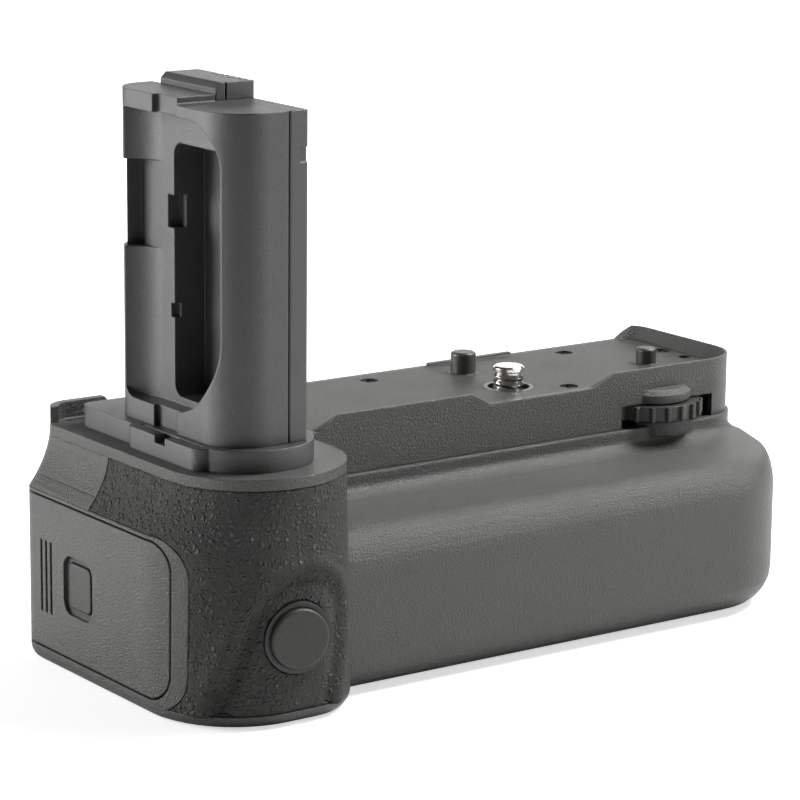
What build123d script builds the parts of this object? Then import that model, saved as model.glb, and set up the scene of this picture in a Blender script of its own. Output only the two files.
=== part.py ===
from build123d import *
import os
from math import atan2, cos, degrees, hypot, pi, radians, sin, sqrt

# Camera battery grip, millimetres, +Z up.
# The working frame has its origin on the camera screw's axis at deck level, with X along the body to the
# right, Y to the back. At the end every piece moves so that the origin is the middle of the bottom.

# Reach of the body from the screw's axis
reach_left = 90.4
reach_right = 49.0
reach_front = 37.3
reach_back = 23.2
deck_height = 42.3

# Shared thicknesses and clearances
overrun = 1.0
wall = 1.6
skin_thickness = 1.0
running_clearance = 0.06
seam_drop = 8.4

# Grip end: plan outline at the deck and lower down
grip_corner_bottom_left = 18.0
grip_corner_bottom_right = 11.5
grip_corner_top = 15.8
grip_corner_back = 5.0
grip_front_taper = 1.25
grip_right_inset = 36.65
grip_right_taper = 1.75
grip_flare = 4.4
flare_drop = 10.8
grip_foot_radius = 3.0
collar_thickness = 1.9
collar_back = 19.4
collar_right_inset = 36.2
collar_corner_back = 3.0
grip_middle_inset = 20.4
skin_left_edge = 0.8
skin_right_edge = 17.0
skin_bottom_rise = 2.4
deck_hole_inset = 10.5
deck_hole_y = 20.5
deck_hole_length = 5.0
deck_hole_width = 1.5
deck_hole_depth = 2.0

# Band and bulge of the long body
band_front = 11.3
band_right_inset = 0.4
band_corner = 9.2
band_wall = 1.4
body_corner_back = 5.0
lip_reach = 0.9
lip_drop = 2.0
bulge_front = 30.6
bulge_corner = 18.0
bulge_foot_radius = 7.0
bulge_top_radius = 6.5
bulge_crown_drop = 13.2
bulge_left_inset = 12.4
shelf_root_out = 5.7
shelf_root_drop = 3.9
shelf_turn = 75.0
arc_steps = 6

# Raised rims of the upper housing
rim_height = 2.6
rim_low_height = 0.3
rim_ledge = 1.2
rim_foot = 1.6
rim_edge = 0.5
ledge_thickness = 1.4
rim_ledge_depth = 1.6
rim_left_foot = 50.5
rim_left_crest = 45.6
rim_dip_left_crest = 16.9
rim_dip_left_foot = 12.6
rim_dip_right_foot = 11.4
rim_dip_right_crest = 16.3
back_lip_foot_inset = 5.0
back_lip_crest_inset = 1.8
corner_lip_height = 3.0
corner_lip_crest = 73.6
corner_lip_foot = 71.0
corner_lip_thickness = 1.5
back_strip_left = 2.0
back_strip_right = 17.5
back_strip_height = 0.5
back_strip_depth = 1.0

# Deck plate and what stands in it
plate_thickness = 1.6
plate_left_inset = 38.4
plate_gap = 0.1
long_pin_x = 0.3
long_pin_y = 14.5
long_pin_radius = 2.4
long_pin_height = 4.0
short_pin_x = 34.8
short_pin_y = 2.2
short_pin_radius = 1.95
short_pin_height = 3.0
pin_crown = 0.6
pin_shoulder = 0.4
pin_flange_reach = 0.8
pin_flange_thickness = 0.8
plate_hole_inset = 4.4
plate_hole_y = 2.4
plate_hole_radius = 1.3
rear_left_screw_x = 18.9
rear_screw_y = 18.0
rear_right_screw_x = 27.3
front_screw_x = 9.5
front_screw_y = 6.0
side_screw_inset = 4.4
side_screw_y = 9.3
plate_screw_head = 1.7
plate_screw_head_height = 0.9
plate_screw_recess = 0.3
plate_screw_shank = 0.9
plate_screw_length = 5.4
cross_width = 0.5
cross_span = 2.2
cross_depth = 0.5
boss_radius = 2.4
boss_depth = 5.6

# Camera screw and the bush that carries it
thread_radius = 3.12
thread_height = 4.0
thread_tip_chamfer = 0.6
neck_radius = 2.3
bush_outer_radius = 4.65
bush_mouth_radius = 3.9
bush_mouth_depth = 1.7
bush_depth = 5.0
bush_flange_radius = 5.6
bush_flange_thickness = 1.0
screw_flange_radius = 4.2
screw_flange_thickness = 1.0

# Gear train from the thumbwheel to the camera screw
gear_module = 0.5
screw_gear_teeth = 36
idler_teeth = 42
pinion_teeth = 10
gear_thickness = 2.2
gear_top_drop = 7.8
addendum_share = 0.85
dedendum_share = 1.2
tooth_root_share = 0.31
tooth_tip_share = 0.13
screw_hub_radius = 3.2
idler_bore_axle = 1.5
idler_axle_top = 6.9
chassis_thickness = 1.0
chassis_gap = 0.4
chassis_left = 11.8
chassis_right = 36.0
chassis_front = 9.4
chassis_back = 15.0
chassis_corner = 2.0
chassis_post_radius = 1.6
chassis_screw_depth = 3.0
idler_head_radius = 2.2
idler_head_thickness = 0.5
pinion_hub_radius = 1.9
chassis_screw_shank = 0.8
chassis_screw_head = 1.45
chassis_screw_head_height = 0.8
chassis_screw_length = 3.6
post_back_left_x = 7.0
post_back_left_y = 11.6
post_back_right_x = 33.0
post_back_right_y = 12.4
post_front_x = 9.6
post_front_y = 7.0

# Thumbwheel
wheel_x = 28.8
wheel_y = 6.4
wheel_radius = 9.2
wheel_rib_height = 0.75
wheel_rib_width = 0.9
wheel_ribs = 20
wheel_thickness = 2.7
wheel_top_drop = 4.4
wheel_edge_chamfer = 0.25
wheel_axle_radius = 1.2
wheel_boss_radius = 2.8
wheel_boss_drop = 4.0
slot_left_reach = 10.8
slot_right_reach = 11.2
slot_top_drop = 4.1
guard_radius = 7.6
guard_top_drop = 1.6
guard_round = 1.0
guard_lower_top = 7.6
guard_lower_bottom = 10.4

# Battery tray, its bay and its contacts
battery_width = 40.4
tray_side = 1.3
tray_floor = 0.6
tray_end_wall = 2.5
tray_top_drop = 16.0
tray_end_room = 10.8
tray_middle_y = 3.2
tray_gap = 0.3
tray_window_inset = 7.0
tray_finger_radius = 8.0
sleeve_sheet = 0.5
sleeve_left_inset = 8.5
sleeve_end_gap = 0.9
bay_contact_thickness = 1.6
bay_contact_count = 4
bay_contact_pitch = 6.0
bay_blade_width = 2.4
bay_blade_reach = 0.5
bay_blade_height = 9.0
bay_contact_height = 14.0
bay_contact_width = 24.0
tray_pad = 0.4
tray_corner = 4.4
tray_bevel = 1.1
sleeve_corner = 5.2
rail_width = 3.0
rail_height = 2.8
rail_inset = 6.0

# Tray end cap, its bezel and latch
cap_top_drop = 11.6
cap_foot_rise = 3.8
cap_front = 25.2
cap_corner = 4.6
cap_thickness = 2.4
cap_gap = 0.4
cap_wrap = 6.4
bezel_top = 1.0
bezel_front = 3.2
bezel_bottom = 2.0
bezel_corner = 6.6
bezel_thickness = 2.6
cap_groove_width = 0.7
cap_groove_pitch = 1.65
cap_groove_depth = 0.6
cap_groove_length = 13.0
cap_groove_y = 13.7
cap_groove_drop = 19.2
cap_grooves = 3
button_y = 2.8
button_drop = 25.4
button_width = 7.2
button_height = 8.0
button_corner = 1.2
button_gap = 0.2
button_depth = 3.4
button_recess = 0.35
scoop_margin = 1.3
scoop_depth = 0.7
button_flange = 0.8
button_flange_thickness = 0.8
button_flange_gap = 0.1
button_window = 5.6
latch_chamber_length = 5.5
chamber_face = 1.6
chamber_wall_gap = 0.3
bolt_width = 5.0
bolt_thickness = 1.5
bolt_height = 8.9
bolt_back_gap = 1.0
guide_width = 1.5
guide_height = 6.0
guide_drop = 13.0
keeper_thickness = 0.7
keeper_height = 2.0
keeper_drop = 15.0
spring_radius = 0.9
spring_wire = 0.3
spring_turns = 6
spring_length = 4.6
spring_seat = 1.0
cap_screw_radius = 0.9
cap_screw_length = 3.8
cap_screw_head = 1.7
cap_screw_head_height = 0.8
cap_screw_front = 17.0
cap_screw_back = 14.5
cap_screw_rise = 3.4

# Shutter button on the front of the grip
shutter_inset = 19.1
shutter_drop = 27.2
shutter_turn = 10.0
shutter_ring_radius = 6.15
shutter_floor = 1.0
shutter_floor_gap = 0.3
switch_gap = 0.1
shutter_ring_proud = 0.3
shutter_button_radius = 5.2
shutter_button_proud = 1.3
shutter_button_depth = 2.6
shutter_stem_length = 1.8
shutter_button_crown = 0.5
shutter_travel = 0.8
shutter_stem_radius = 1.3
switch_size = 4.6
switch_thickness = 1.5
switch_plunger_radius = 1.0
switch_plunger_height = 0.5
switch_board_radius = 6.0
switch_board_thickness = 1.0

# Tower that goes into the camera's battery chamber
platform_height = 3.8
platform_left_inset = 8.4
platform_right_inset = 30.9
platform_front = 31.3
platform_back = 16.3
platform_corner_left = 10.8
platform_corner = 2.5
tongue_reach = 1.4
tongue_back = 1.3
tongue_front = 24.6
tongue_groove_width = 0.6
tongue_groove_depth = 0.9
tongue_groove_margin = 2.0
tongue_notch_width = 3.2
tongue_notch_depth = 1.3
lead_hole_length = 9.0
lead_hole_width = 3.0
lead_hole_y = 1.0
ribbon_width = 6.0
ribbon_thickness = 0.3
ribbon_top = 30.0
ribbon_overlap = 5.0
platform_screw_left_inset = 14.4
platform_screw_right_inset = 27.8
platform_screw_front = 21.0
platform_screw_back = 2.0
platform_screw_length = 6.5
tower_left_inset = 10.4
tower_right_inset = 26.4
tower_front = 28.6
tower_back = 8.3
tower_front_corner = 8.0
tower_back_corner = 6.0
tower_small_corner = 0.6
tower_height = 55.6
tower_seam_inset = 22.6
seam_gap = 0.1
cap_level = 1.1
cap_front_line = 12.0
groove_back_y = 5.6
groove_front_y = 13.0
groove_depth = 1.0
pocket_depth = 4.0
pocket_front = 24.8
pocket_back = 4.7
pocket_bottom = 3.7
pocket_top = 53.6
pocket_arc_top = 7.5
pocket_arc_bottom = 13.5
pocket_arc_back = 4.0
pocket_arc_back_top = 1.5
slot_depth = 6.0
slot_back = 6.0
slot_front = 24.2
slot_bottom = 5.0
slot_top = 48.4
slot_corner = 2.2
scoop_radius = 7.0
scoop_low_top = 29.6
scoop_high_bottom = 44.6
tower_waist = 0.45
tab_tall_bottom = 33.7
tab_tall_height = 5.6
tab_tall_width = 2.0
tab_tall_depth = 2.4
tab_small_bottom = 18.4
tab_small_height = 2.4
tab_small_width = 1.1
tab_small_depth = 1.3
cover_notch_bottom = 47.0
cover_notch_height = 2.5
cover_notch_width = 1.7
cover_notch_depth = 0.8
block_left_inset = 18.9
block_back = 5.5
block_height = 3.0
block_chamfer = 1.0
block_groove = 0.3
block_groove_inset = 20.7
block_groove_depth = 1.2
blade_count = 6
blade_pitch = 1.85
blade_slot = 0.95
blade_slot_reach = 2.2
blade_slot_depth = 2.0
blade_first_y = 10.6
blade_thickness = 0.45
blade_inset = 0.3
tower_board_thickness = 0.8
tower_board_width = 12.0
tower_board_y = 9.0
tower_screw_radius = 0.9
tower_screw_head = 1.6
tower_screw_head_height = 0.8
tower_screw_length = 4.6
tower_screw_front = 20.0
tower_screw_back = 2.5
tower_screw_low = 15.0
tower_screw_high = 50.0
tower_screw_recess = 0.4
tower_boss_radius = 2.2
cover_wall = 1.3
cover_top = 1.4
tower_board_length = 44.0
tower_board_low = 8.0

# Electronics in the upper housing
board_left_inset = 40.4
board_right = 13.4
board_front = 8.2
board_back = 17.0
board_drop = 6.0
board_thickness = 1.2
board_corner = 1.5
board_post_radius = 1.7
board_post_inset = 3.0
chip_height = 1.2
chip_size = 7.0
chip_count = 3
chip_pitch = 10.5
connector_length = 9.0
connector_width = 3.5

# Bottom plate, whose upper half laps over a ledge of the lower housing
floor_left_inset = 6.4
floor_right_inset = 9.0
floor_front_inset = 7.6
floor_back_inset = 8.5
floor_corner = 4.0
floor_lap = 1.5
floor_lap_height = 0.8

# Fasteners and tripod socket under the body
casing_post_radius = 2.0
casing_post_right_inset = 5.1
casing_post_right_front = 4.5
casing_post_right_back = 15.5
casing_post_left_inset = 10.9
casing_post_left_y = 28.6
casing_post_mid_inset = 26.9
casing_post_mid_y = 28.3
casing_boss_height = 1.9
casing_web = 1.5
casing_screw_head = 1.6
casing_screw_head_height = 1.2
casing_screw_recess = 0.4
casing_screw_shank = 0.9
casing_screw_length = 7.0
socket_radius = 5.2
socket_bore = 2.6
socket_height = 4.1
socket_flange_radius = 8.0
socket_flange_thickness = 1.0


# Places worked out from the sizes above
left = -reach_left
grip_middle = reach_left - grip_middle_inset
grip_right_top = reach_left - grip_right_inset
collar_right = reach_left - collar_right_inset
deck_hole_x = reach_left - deck_hole_inset
bulge_left = reach_left - bulge_left_inset
plate_left = reach_left - plate_left_inset
sleeve_left = reach_left - sleeve_left_inset
shutter_x = reach_left - shutter_inset
platform_left = reach_left - platform_left_inset
platform_right = reach_left - platform_right_inset
platform_screw_left = reach_left - platform_screw_left_inset
platform_screw_right = reach_left - platform_screw_right_inset
tower_left = reach_left - tower_left_inset
tower_right = reach_left - tower_right_inset
tower_seam = reach_left - tower_seam_inset
block_left = reach_left - block_left_inset
block_groove_x = reach_left - block_groove_inset
board_left = reach_left - board_left_inset
casing_post_left_x = reach_left - casing_post_left_inset
casing_post_mid_x = reach_left - casing_post_mid_inset
right = reach_right
front = -reach_front
back = reach_back
bottom = -deck_height
grip_front_top = front + grip_front_taper
cap_top = -cap_top_drop
cap_bottom = bottom + cap_foot_rise
floor_top = bottom + wall
gear_bottom = -gear_top_drop - gear_thickness
chassis_top = gear_bottom - chassis_gap
chassis_bottom = chassis_top - chassis_thickness
bulge_crown = -bulge_crown_drop
lip_bottom = -seam_drop - lip_drop
tray_left = left + cap_thickness
tray_right = right - tray_end_room
tray_length = tray_right - tray_left
battery_length = (tray_length - latch_chamber_length - 3 * tray_end_wall) / 2
sleeve_bottom = floor_top + rail_height
tray_bottom = sleeve_bottom + sleeve_sheet + tray_gap
tray_top = -tray_top_drop
tray_width = battery_width + 2 * tray_side
tray_front = -tray_middle_y - tray_width / 2
tray_back = tray_front + tray_width
sleeve_right = tray_right + sleeve_end_gap + bay_contact_thickness + sleeve_sheet
sleeve_front = tray_front - tray_gap - sleeve_sheet
sleeve_back = tray_back + tray_gap + sleeve_sheet
sleeve_top = tray_top + tray_gap + sleeve_sheet
ledge_bottom = rim_ledge_depth + ledge_thickness
casing_head_top = casing_screw_recess + casing_screw_head_height
frame_ceiling = collar_thickness + wall
chamber_right = tray_left + latch_chamber_length
plate_hole_x = right - plate_hole_inset
side_screw_x = right - side_screw_inset
casing_post_right_x = right - casing_post_right_inset
slot_left = wheel_x - slot_left_reach
slot_right = wheel_x + slot_right_reach
bolt_right = chamber_right - bolt_back_gap
bolt_left = bolt_right - bolt_thickness
bolt_top = cap_top - chamber_wall_gap
bolt_bottom = bolt_top - bolt_height
spring_bottom = bolt_bottom - spring_length
shutter_stem_end = shutter_button_depth + shutter_stem_length - shutter_button_proud
shutter_floor_front = shutter_button_depth - shutter_button_proud + shutter_travel + shutter_floor_gap
switch_front = shutter_stem_end + shutter_travel + switch_gap + switch_plunger_height
shutter_board_front = switch_front + switch_thickness
tower_top = platform_height + tower_height


def block(x0, x1, y0, y1, z0, z1):
    """Box between two corners."""
    middle = Pos((x0 + x1) / 2, (y0 + y1) / 2, (z0 + z1) / 2)
    return middle * Box(abs(x1 - x0), abs(y1 - y0), abs(z1 - z0))


def rod(radius, x, y, z0, z1):
    """Upright cylinder."""
    return Pos(x, y, (z0 + z1) / 2) * Cylinder(radius, abs(z1 - z0))


def rod_x(radius, x0, x1, y, z):
    """Cylinder along X."""
    return Pos((x0 + x1) / 2, y, z) * Rot(0, 90, 0) * Cylinder(radius, abs(x1 - x0))


def rounded_outline(x0, x1, y0, y1, z, corners):
    """Level face with four rounded corners: front left, front right, back right, back left."""
    points = [(x0, y0), (x1, y0), (x1, y1), (x0, y1)]
    turns = [(1, 1), (-1, 1), (-1, -1), (1, -1)]
    edges = []
    marks = []
    for (x, y), (tx, ty), radius in zip(points, turns, corners):
        across = (x + tx * radius, y)
        along = (x, y + ty * radius)
        centre = (x + tx * radius, y + ty * radius)
        bend = radius / sqrt(2)
        middle = (centre[0] - tx * bend, centre[1] - ty * bend)
        first, last = (along, across) if tx * ty > 0 else (across, along)
        marks.append((first, middle, last))
    for index, (first, middle, last) in enumerate(marks):
        previous = marks[index - 1][2]
        edges.append(Edge.make_line((*previous, z), (*first, z)))
        edges.append(Edge.make_three_point_arc((*first, z), (*middle, z), (*last, z)))
    return Face(Wire(edges))


def rounded_plate(x0, x1, y0, y1, z0, z1, corners):
    """Upright plate on a rounded outline."""
    face = rounded_outline(x0, x1, y0, y1, z0, corners)
    return extrude(face, amount=z1 - z0, dir=(0, 0, 1))


def side_plate(x0, x1, y0, y1, z0, z1, corners):
    """Plate along X, whose outline stands in Y and Z: corners low front, low back, top back, top front."""
    face = rounded_outline(y0, y1, z0, z1, 0, corners)
    standing = Plane(origin=(x0, 0, 0), x_dir=(0, 1, 0), z_dir=(1, 0, 0))
    return extrude(standing.location * face, amount=x1 - x0, dir=(1, 0, 0))


def grip_level(drop, inset):
    """Rounded outline of the grip end at a depth below the deck, moved inwards by an inset."""
    fall = drop / deck_height
    flare = max(0, 1 - (drop / flare_drop) ** 2)
    foot = max(0, drop - (deck_height - grip_foot_radius))
    under = grip_foot_radius - sqrt(max(0, grip_foot_radius ** 2 - foot ** 2))
    step = inset + under
    x0 = left + grip_flare * flare + step
    x1 = -grip_right_top - grip_right_taper * fall - step
    y0 = grip_front_top - grip_front_taper * fall + step
    widen = (grip_corner_bottom_left - grip_corner_top) * min(1, drop / flare_drop)
    narrow = (grip_corner_top - grip_corner_bottom_right) * fall
    corners = [
        grip_corner_top + widen - step,
        grip_corner_top - narrow - step,
        max(grip_corner_back - step, skin_thickness),
        max(grip_corner_back - step, skin_thickness),
    ]
    return rounded_outline(x0, x1, y0, back - step, -drop, corners)


def grip_solid(drops, inset):
    """Stack of grip outlines."""
    return loft([grip_level(drop, inset) for drop in drops], ruled=True)


def upper_drops():
    """Depths of the flared part above the seam: the deck, the collar's underside and steps below it."""
    step = (seam_drop - collar_thickness) / (arc_steps - 1)
    return [0] + [collar_thickness + step * index for index in range(arc_steps)]


def lower_drops():
    """Depths from the seam to the rounded foot."""
    drops = [seam_drop, (seam_drop + flare_drop) / 2, flare_drop, deck_height - grip_foot_radius]
    for step in range(1, arc_steps + 1):
        angle = radians(90) * step / arc_steps
        drops.append(deck_height - grip_foot_radius + grip_foot_radius * sin(angle))
    return drops


def bulge_profile(inset):
    """Depth, front, and corner radius of the long body, from the lip down to the foot."""
    levels = []
    lip_front = -band_front - lip_reach
    levels.append((-seam_drop, lip_front + inset, band_corner + lip_reach))
    levels.append((lip_bottom, lip_front + inset, band_corner + lip_reach))
    shelf_front = lip_front - shelf_root_out
    for step in range(1, arc_steps + 1):
        angle = radians(90) * step / arc_steps
        share = step / arc_steps
        y = lip_front - shelf_root_out * (1 - cos(angle))
        z = -seam_drop - lip_drop - (shelf_root_drop - lip_drop) * sin(angle)
        levels.append((z, y + inset, band_corner + lip_reach + share * lip_reach))
    crown_y = -bulge_front + bulge_top_radius
    crown_z = bulge_crown - bulge_top_radius
    for step in range(arc_steps + 1):
        angle = radians(shelf_turn) * (1 - step / arc_steps)
        radius = bulge_top_radius - inset
        y = crown_y - radius * cos(angle)
        z = crown_z + radius * sin(angle)
        share = (shelf_front - y) / (shelf_front + bulge_front)
        grown = band_corner + lip_reach * 2 + share * (bulge_corner - band_corner - lip_reach * 2)
        levels.append((z, y, grown))
    foot_y = -bulge_front + bulge_foot_radius
    foot_z = bottom + bulge_foot_radius
    for step in range(arc_steps + 1):
        angle = radians(90) * step / arc_steps
        radius = bulge_foot_radius - inset
        y = foot_y - radius * cos(angle)
        z = foot_z - radius * sin(angle)
        levels.append((z, y, bulge_corner - (y + bulge_front)))
    return levels


def bulge_solid():
    """Outer shape of the long body below the seam."""
    faces = []
    for z, y, corner in bulge_profile(0):
        under = max(0, y + bulge_front) if z < bottom + bulge_foot_radius else 0
        rear = max(body_corner_back - under, skin_thickness)
        corners = [rear, corner, rear, rear]
        faces.append(rounded_outline(-bulge_left, right - under, y, back - under, z, corners))
    return loft(faces, ruled=True)


def bulge_hollow():
    """Space inside the long body, one wall inside the outer shape."""
    faces = []
    levels = [level for level in bulge_profile(wall) if level[0] < bulge_crown - wall / 2]
    for z, y, corner in levels:
        low = z < bottom + bulge_foot_radius
        under = wall + (max(0, y - wall + bulge_front) if low else 0)
        rear = max(body_corner_back - under, skin_thickness)
        corners = [rear, corner - wall, rear, rear]
        faces.append(rounded_outline(-bulge_left - wall, right - under, y, back - under, z, corners))
    return loft(faces, ruled=True)


def ramp_cut(points, y0, y1, top):
    """Space above a rim profile: the profile's points run left to right, cut away up to a height."""
    outline = [(x, 0, z) for x, z in points]
    outline += [(points[-1][0], 0, top), (points[0][0], 0, top)]
    face = Face(Wire.make_polygon(outline, close=True))
    return Pos(0, y0, 0) * extrude(face, amount=y1 - y0, dir=(0, 1, 0))


def gear(teeth, x, y, phase, z0, z1, bore):
    """Spur gear with straight-flanked teeth, one of them at the phase angle."""
    pitch_radius = gear_module * teeth / 2
    tip = pitch_radius + gear_module * addendum_share
    root = pitch_radius - gear_module * dedendum_share
    step = 2 * pi / teeth
    points = []
    for tooth in range(teeth):
        middle = radians(phase) + tooth * step
        flank = [
            (root, -tooth_root_share), (tip, -tooth_tip_share),
            (tip, tooth_tip_share), (root, tooth_root_share),
        ]
        for radius, share in flank:
            angle = middle + share * step
            points.append((x + radius * cos(angle), y + radius * sin(angle), z0))
    face = Face(Wire.make_polygon(points, close=True))
    blank = extrude(face, amount=z1 - z0, dir=(0, 0, 1))
    return blank - rod(bore, x, y, z0 - overrun, z1 + overrun)


# Places that several pieces share
long_pin_place = (long_pin_x, long_pin_y, long_pin_radius)
short_pin_place = (short_pin_x, short_pin_y, short_pin_radius)
plate_screw_places = [
    (-rear_left_screw_x, rear_screw_y),
    (rear_right_screw_x, rear_screw_y),
    (front_screw_x, -front_screw_y),
    (side_screw_x, side_screw_y),
]
chassis_post_places = [
    (-post_back_left_x, post_back_left_y),
    (post_back_right_x, post_back_right_y),
    (-post_front_x, -post_front_y),
]
casing_places = [
    (casing_post_right_x, -casing_post_right_front),
    (casing_post_right_x, casing_post_right_back),
    (-casing_post_left_x, -casing_post_left_y),
    (-casing_post_mid_x, -casing_post_mid_y),
]
board_post_places = [
    (-board_left + board_post_inset, -board_front + board_post_inset),
    (-board_left + board_post_inset, board_back - board_post_inset),
    (-board_right - board_post_inset, -board_front + board_post_inset),
    (-board_right - board_post_inset, board_back - board_post_inset),
]
tower_screw_places = [
    (-tower_screw_front, tower_screw_low),
    (-tower_screw_front, tower_screw_high),
    (tower_screw_back, tower_screw_high),
]
platform_screw_places = [
    (-platform_screw_left, -platform_screw_front),
    (-platform_screw_left, platform_screw_back),
    (-platform_screw_right, -platform_screw_front),
]
cap_screw_places = [
    (-cap_screw_front, tray_top - cap_screw_rise),
    (cap_screw_back, tray_top - cap_screw_rise),
    (-cap_screw_front, tray_bottom + cap_screw_rise),
    (cap_screw_back, tray_bottom + cap_screw_rise),
]

# Gear centres: the idler meets the screw gear and the wheel's pinion
screw_reach = gear_module * (screw_gear_teeth + idler_teeth) / 2
pinion_reach = gear_module * (idler_teeth + pinion_teeth) / 2
wheel_distance = hypot(wheel_x, wheel_y)
idler_along = (screw_reach ** 2 - pinion_reach ** 2 + wheel_distance ** 2) / (2 * wheel_distance)
idler_across = sqrt(screw_reach ** 2 - idler_along ** 2)
wheel_dir = (wheel_x / wheel_distance, -wheel_y / wheel_distance)
idler_x = idler_along * wheel_dir[0] - idler_across * wheel_dir[1]
idler_y = idler_along * wheel_dir[1] + idler_across * wheel_dir[0]
to_idler = degrees(atan2(idler_y, idler_x))
to_pinion = degrees(atan2(-wheel_y - idler_y, wheel_x - idler_x))
idler_phase = to_idler + 180 + 360 / idler_teeth / 2
mesh_share = ((to_pinion - idler_phase) * idler_teeth / 360) % 1
pinion_phase = to_pinion + 180 + (mesh_share - 1 / 2) * 360 / pinion_teeth

# Directions of the shutter button: outwards and its place on the skin
shutter_out = (-sin(radians(shutter_turn)), -cos(radians(shutter_turn)))
shutter_y = grip_front_top - grip_front_taper * shutter_drop / deck_height
ring_edge = shutter_y + shutter_ring_proud * shutter_out[1] + shutter_ring_radius * shutter_out[0]
crown_proud = shutter_button_proud - shutter_button_crown
crown_radius = shutter_button_radius - shutter_button_crown
button_edge = shutter_y + crown_proud * shutter_out[1] + crown_radius * shutter_out[0] - shutter_button_crown
foremost = min(ring_edge, button_edge)


def shutter_rod(radius, depth0, depth1):
    """Cylinder on the shutter button's axis, between two depths below the skin."""
    start = (-shutter_x - shutter_out[0] * depth1, shutter_y - shutter_out[1] * depth1, -shutter_drop)
    plane = Plane(origin=start, z_dir=(shutter_out[0], shutter_out[1], 0))
    return plane.location * Pos(0, 0, (depth1 - depth0) / 2) * Cylinder(radius, depth1 - depth0)


grip_outer = grip_solid(lower_drops(), 0)
bulge = bulge_solid()
hollow = bulge_hollow()
band_left = -grip_middle
band_right = right - band_right_inset
plate_x1 = band_right - rim_foot - plate_gap
plate_y0 = -band_front + rim_foot + plate_gap
plate_y1 = back - rim_foot - plate_gap


def band_outline(inset, z0, z1, x0):
    """Plate on the outline of the upper housing's band, moved inwards by an inset."""
    corners = [skin_thickness, band_corner - inset, body_corner_back - inset, skin_thickness]
    return rounded_plate(x0, band_right - inset, -band_front + inset, back - inset, z0, z1, corners)


def make_skin():
    """Textured skin round the front of the grip end."""
    drops = upper_drops()[1:] + lower_drops()[1:]
    shell = grip_solid(drops, 0) - grip_solid(drops, skin_thickness)
    low = bottom + skin_bottom_rise
    y0 = front - overrun
    area = block(left - overrun, -grip_middle, y0, -skin_left_edge, low, -collar_thickness)
    area += block(-grip_middle, -body_corner_back, y0, -skin_right_edge, low, -collar_thickness)
    skin = (shell & area) - bezel_window() - bulge
    return skin - shutter_rod(shutter_ring_radius, -2 * overrun, shutter_board_front)


def bezel_window():
    """Opening that the bezel fills in the left end."""
    low = cap_bottom - bezel_bottom
    corners = [bezel_corner, skin_thickness, skin_thickness, bezel_corner]
    y0 = -cap_front - bezel_front
    return side_plate(left - overrun, left + cap_wrap, y0, back + overrun, low, cap_top + bezel_top, corners)


def cap_window(gap, x1):
    """Opening of the bezel for the end cap, wider by a gap."""
    corners = [cap_corner + gap, skin_thickness, skin_thickness, cap_corner + gap]
    y0 = -cap_front - gap
    return side_plate(left - overrun, x1, y0, back + overrun, cap_bottom - gap, cap_top + gap, corners)


def grip_ring(thickness):
    """Wall of the grip end below the seam, of a thickness."""
    return grip_outer - grip_solid(lower_drops(), thickness)


def floor_area(gap, reach, z0, z1):
    """Plate on the outline of the bottom plate, narrower by a gap and wider by a reach."""
    grow = reach - gap
    x0, x1 = left + floor_left_inset - grow, right - floor_right_inset + grow
    y0, y1 = -bulge_front + floor_front_inset - grow, back - floor_back_inset + grow
    return rounded_plate(x0, x1, y0, y1, z0, z1, [floor_corner + grow] * 4)


def make_base_shell(skin):
    """Lower housing: walls of the grip end and the long body, with half of the wheel's guard."""
    drops = [seam_drop - overrun] + lower_drops()[:4] + [deck_height - wall]
    shell = grip_outer + bulge
    guard = rod(guard_radius, wheel_x, -wheel_y, -guard_lower_bottom, -guard_lower_top)
    shell += guard & block(0, right, -bulge_front, -band_front + band_wall, -guard_lower_bottom, 0)
    shell -= grip_solid(drops, wall + skin_thickness)
    shell -= hollow
    low = -bulge_crown_drop - bulge_top_radius
    shell -= band_outline(band_wall, low, -guard_lower_top + overrun, band_left)
    shell -= skin
    shell -= bezel_window()
    shell -= shutter_rod(shutter_ring_radius, -2 * overrun, shutter_board_front)
    shell -= floor_area(0, 0, bottom - overrun, floor_top)
    shell -= floor_area(0, floor_lap, bottom + floor_lap_height, floor_top + overrun)
    for x, y in casing_places:
        shell += rod(casing_post_radius, x, y, floor_top - overrun / 2, floor_top + casing_boss_height)
        shell -= rod(casing_screw_head, x, y, bottom - overrun, bottom + casing_head_top)
        shell -= rod(casing_screw_shank, x, y, bottom, floor_top + casing_boss_height + overrun)
    return shell


def make_bottom_plate():
    """Bottom plate with its lap, the socket's hole and rails for the battery bay."""
    lap = bottom + floor_lap_height
    plate = floor_area(plate_gap, 0, bottom, lap) + floor_area(plate_gap, floor_lap, lap, floor_top)
    for y in (sleeve_front + rail_inset, sleeve_back - rail_inset):
        x0, x1 = -sleeve_left + rail_inset, sleeve_right - rail_inset
        plate += block(x0, x1, y - rail_width / 2, y + rail_width / 2, floor_top, sleeve_bottom)
    return plate - rod(socket_radius, 0, 0, bottom - overrun, floor_top + overrun)


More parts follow.
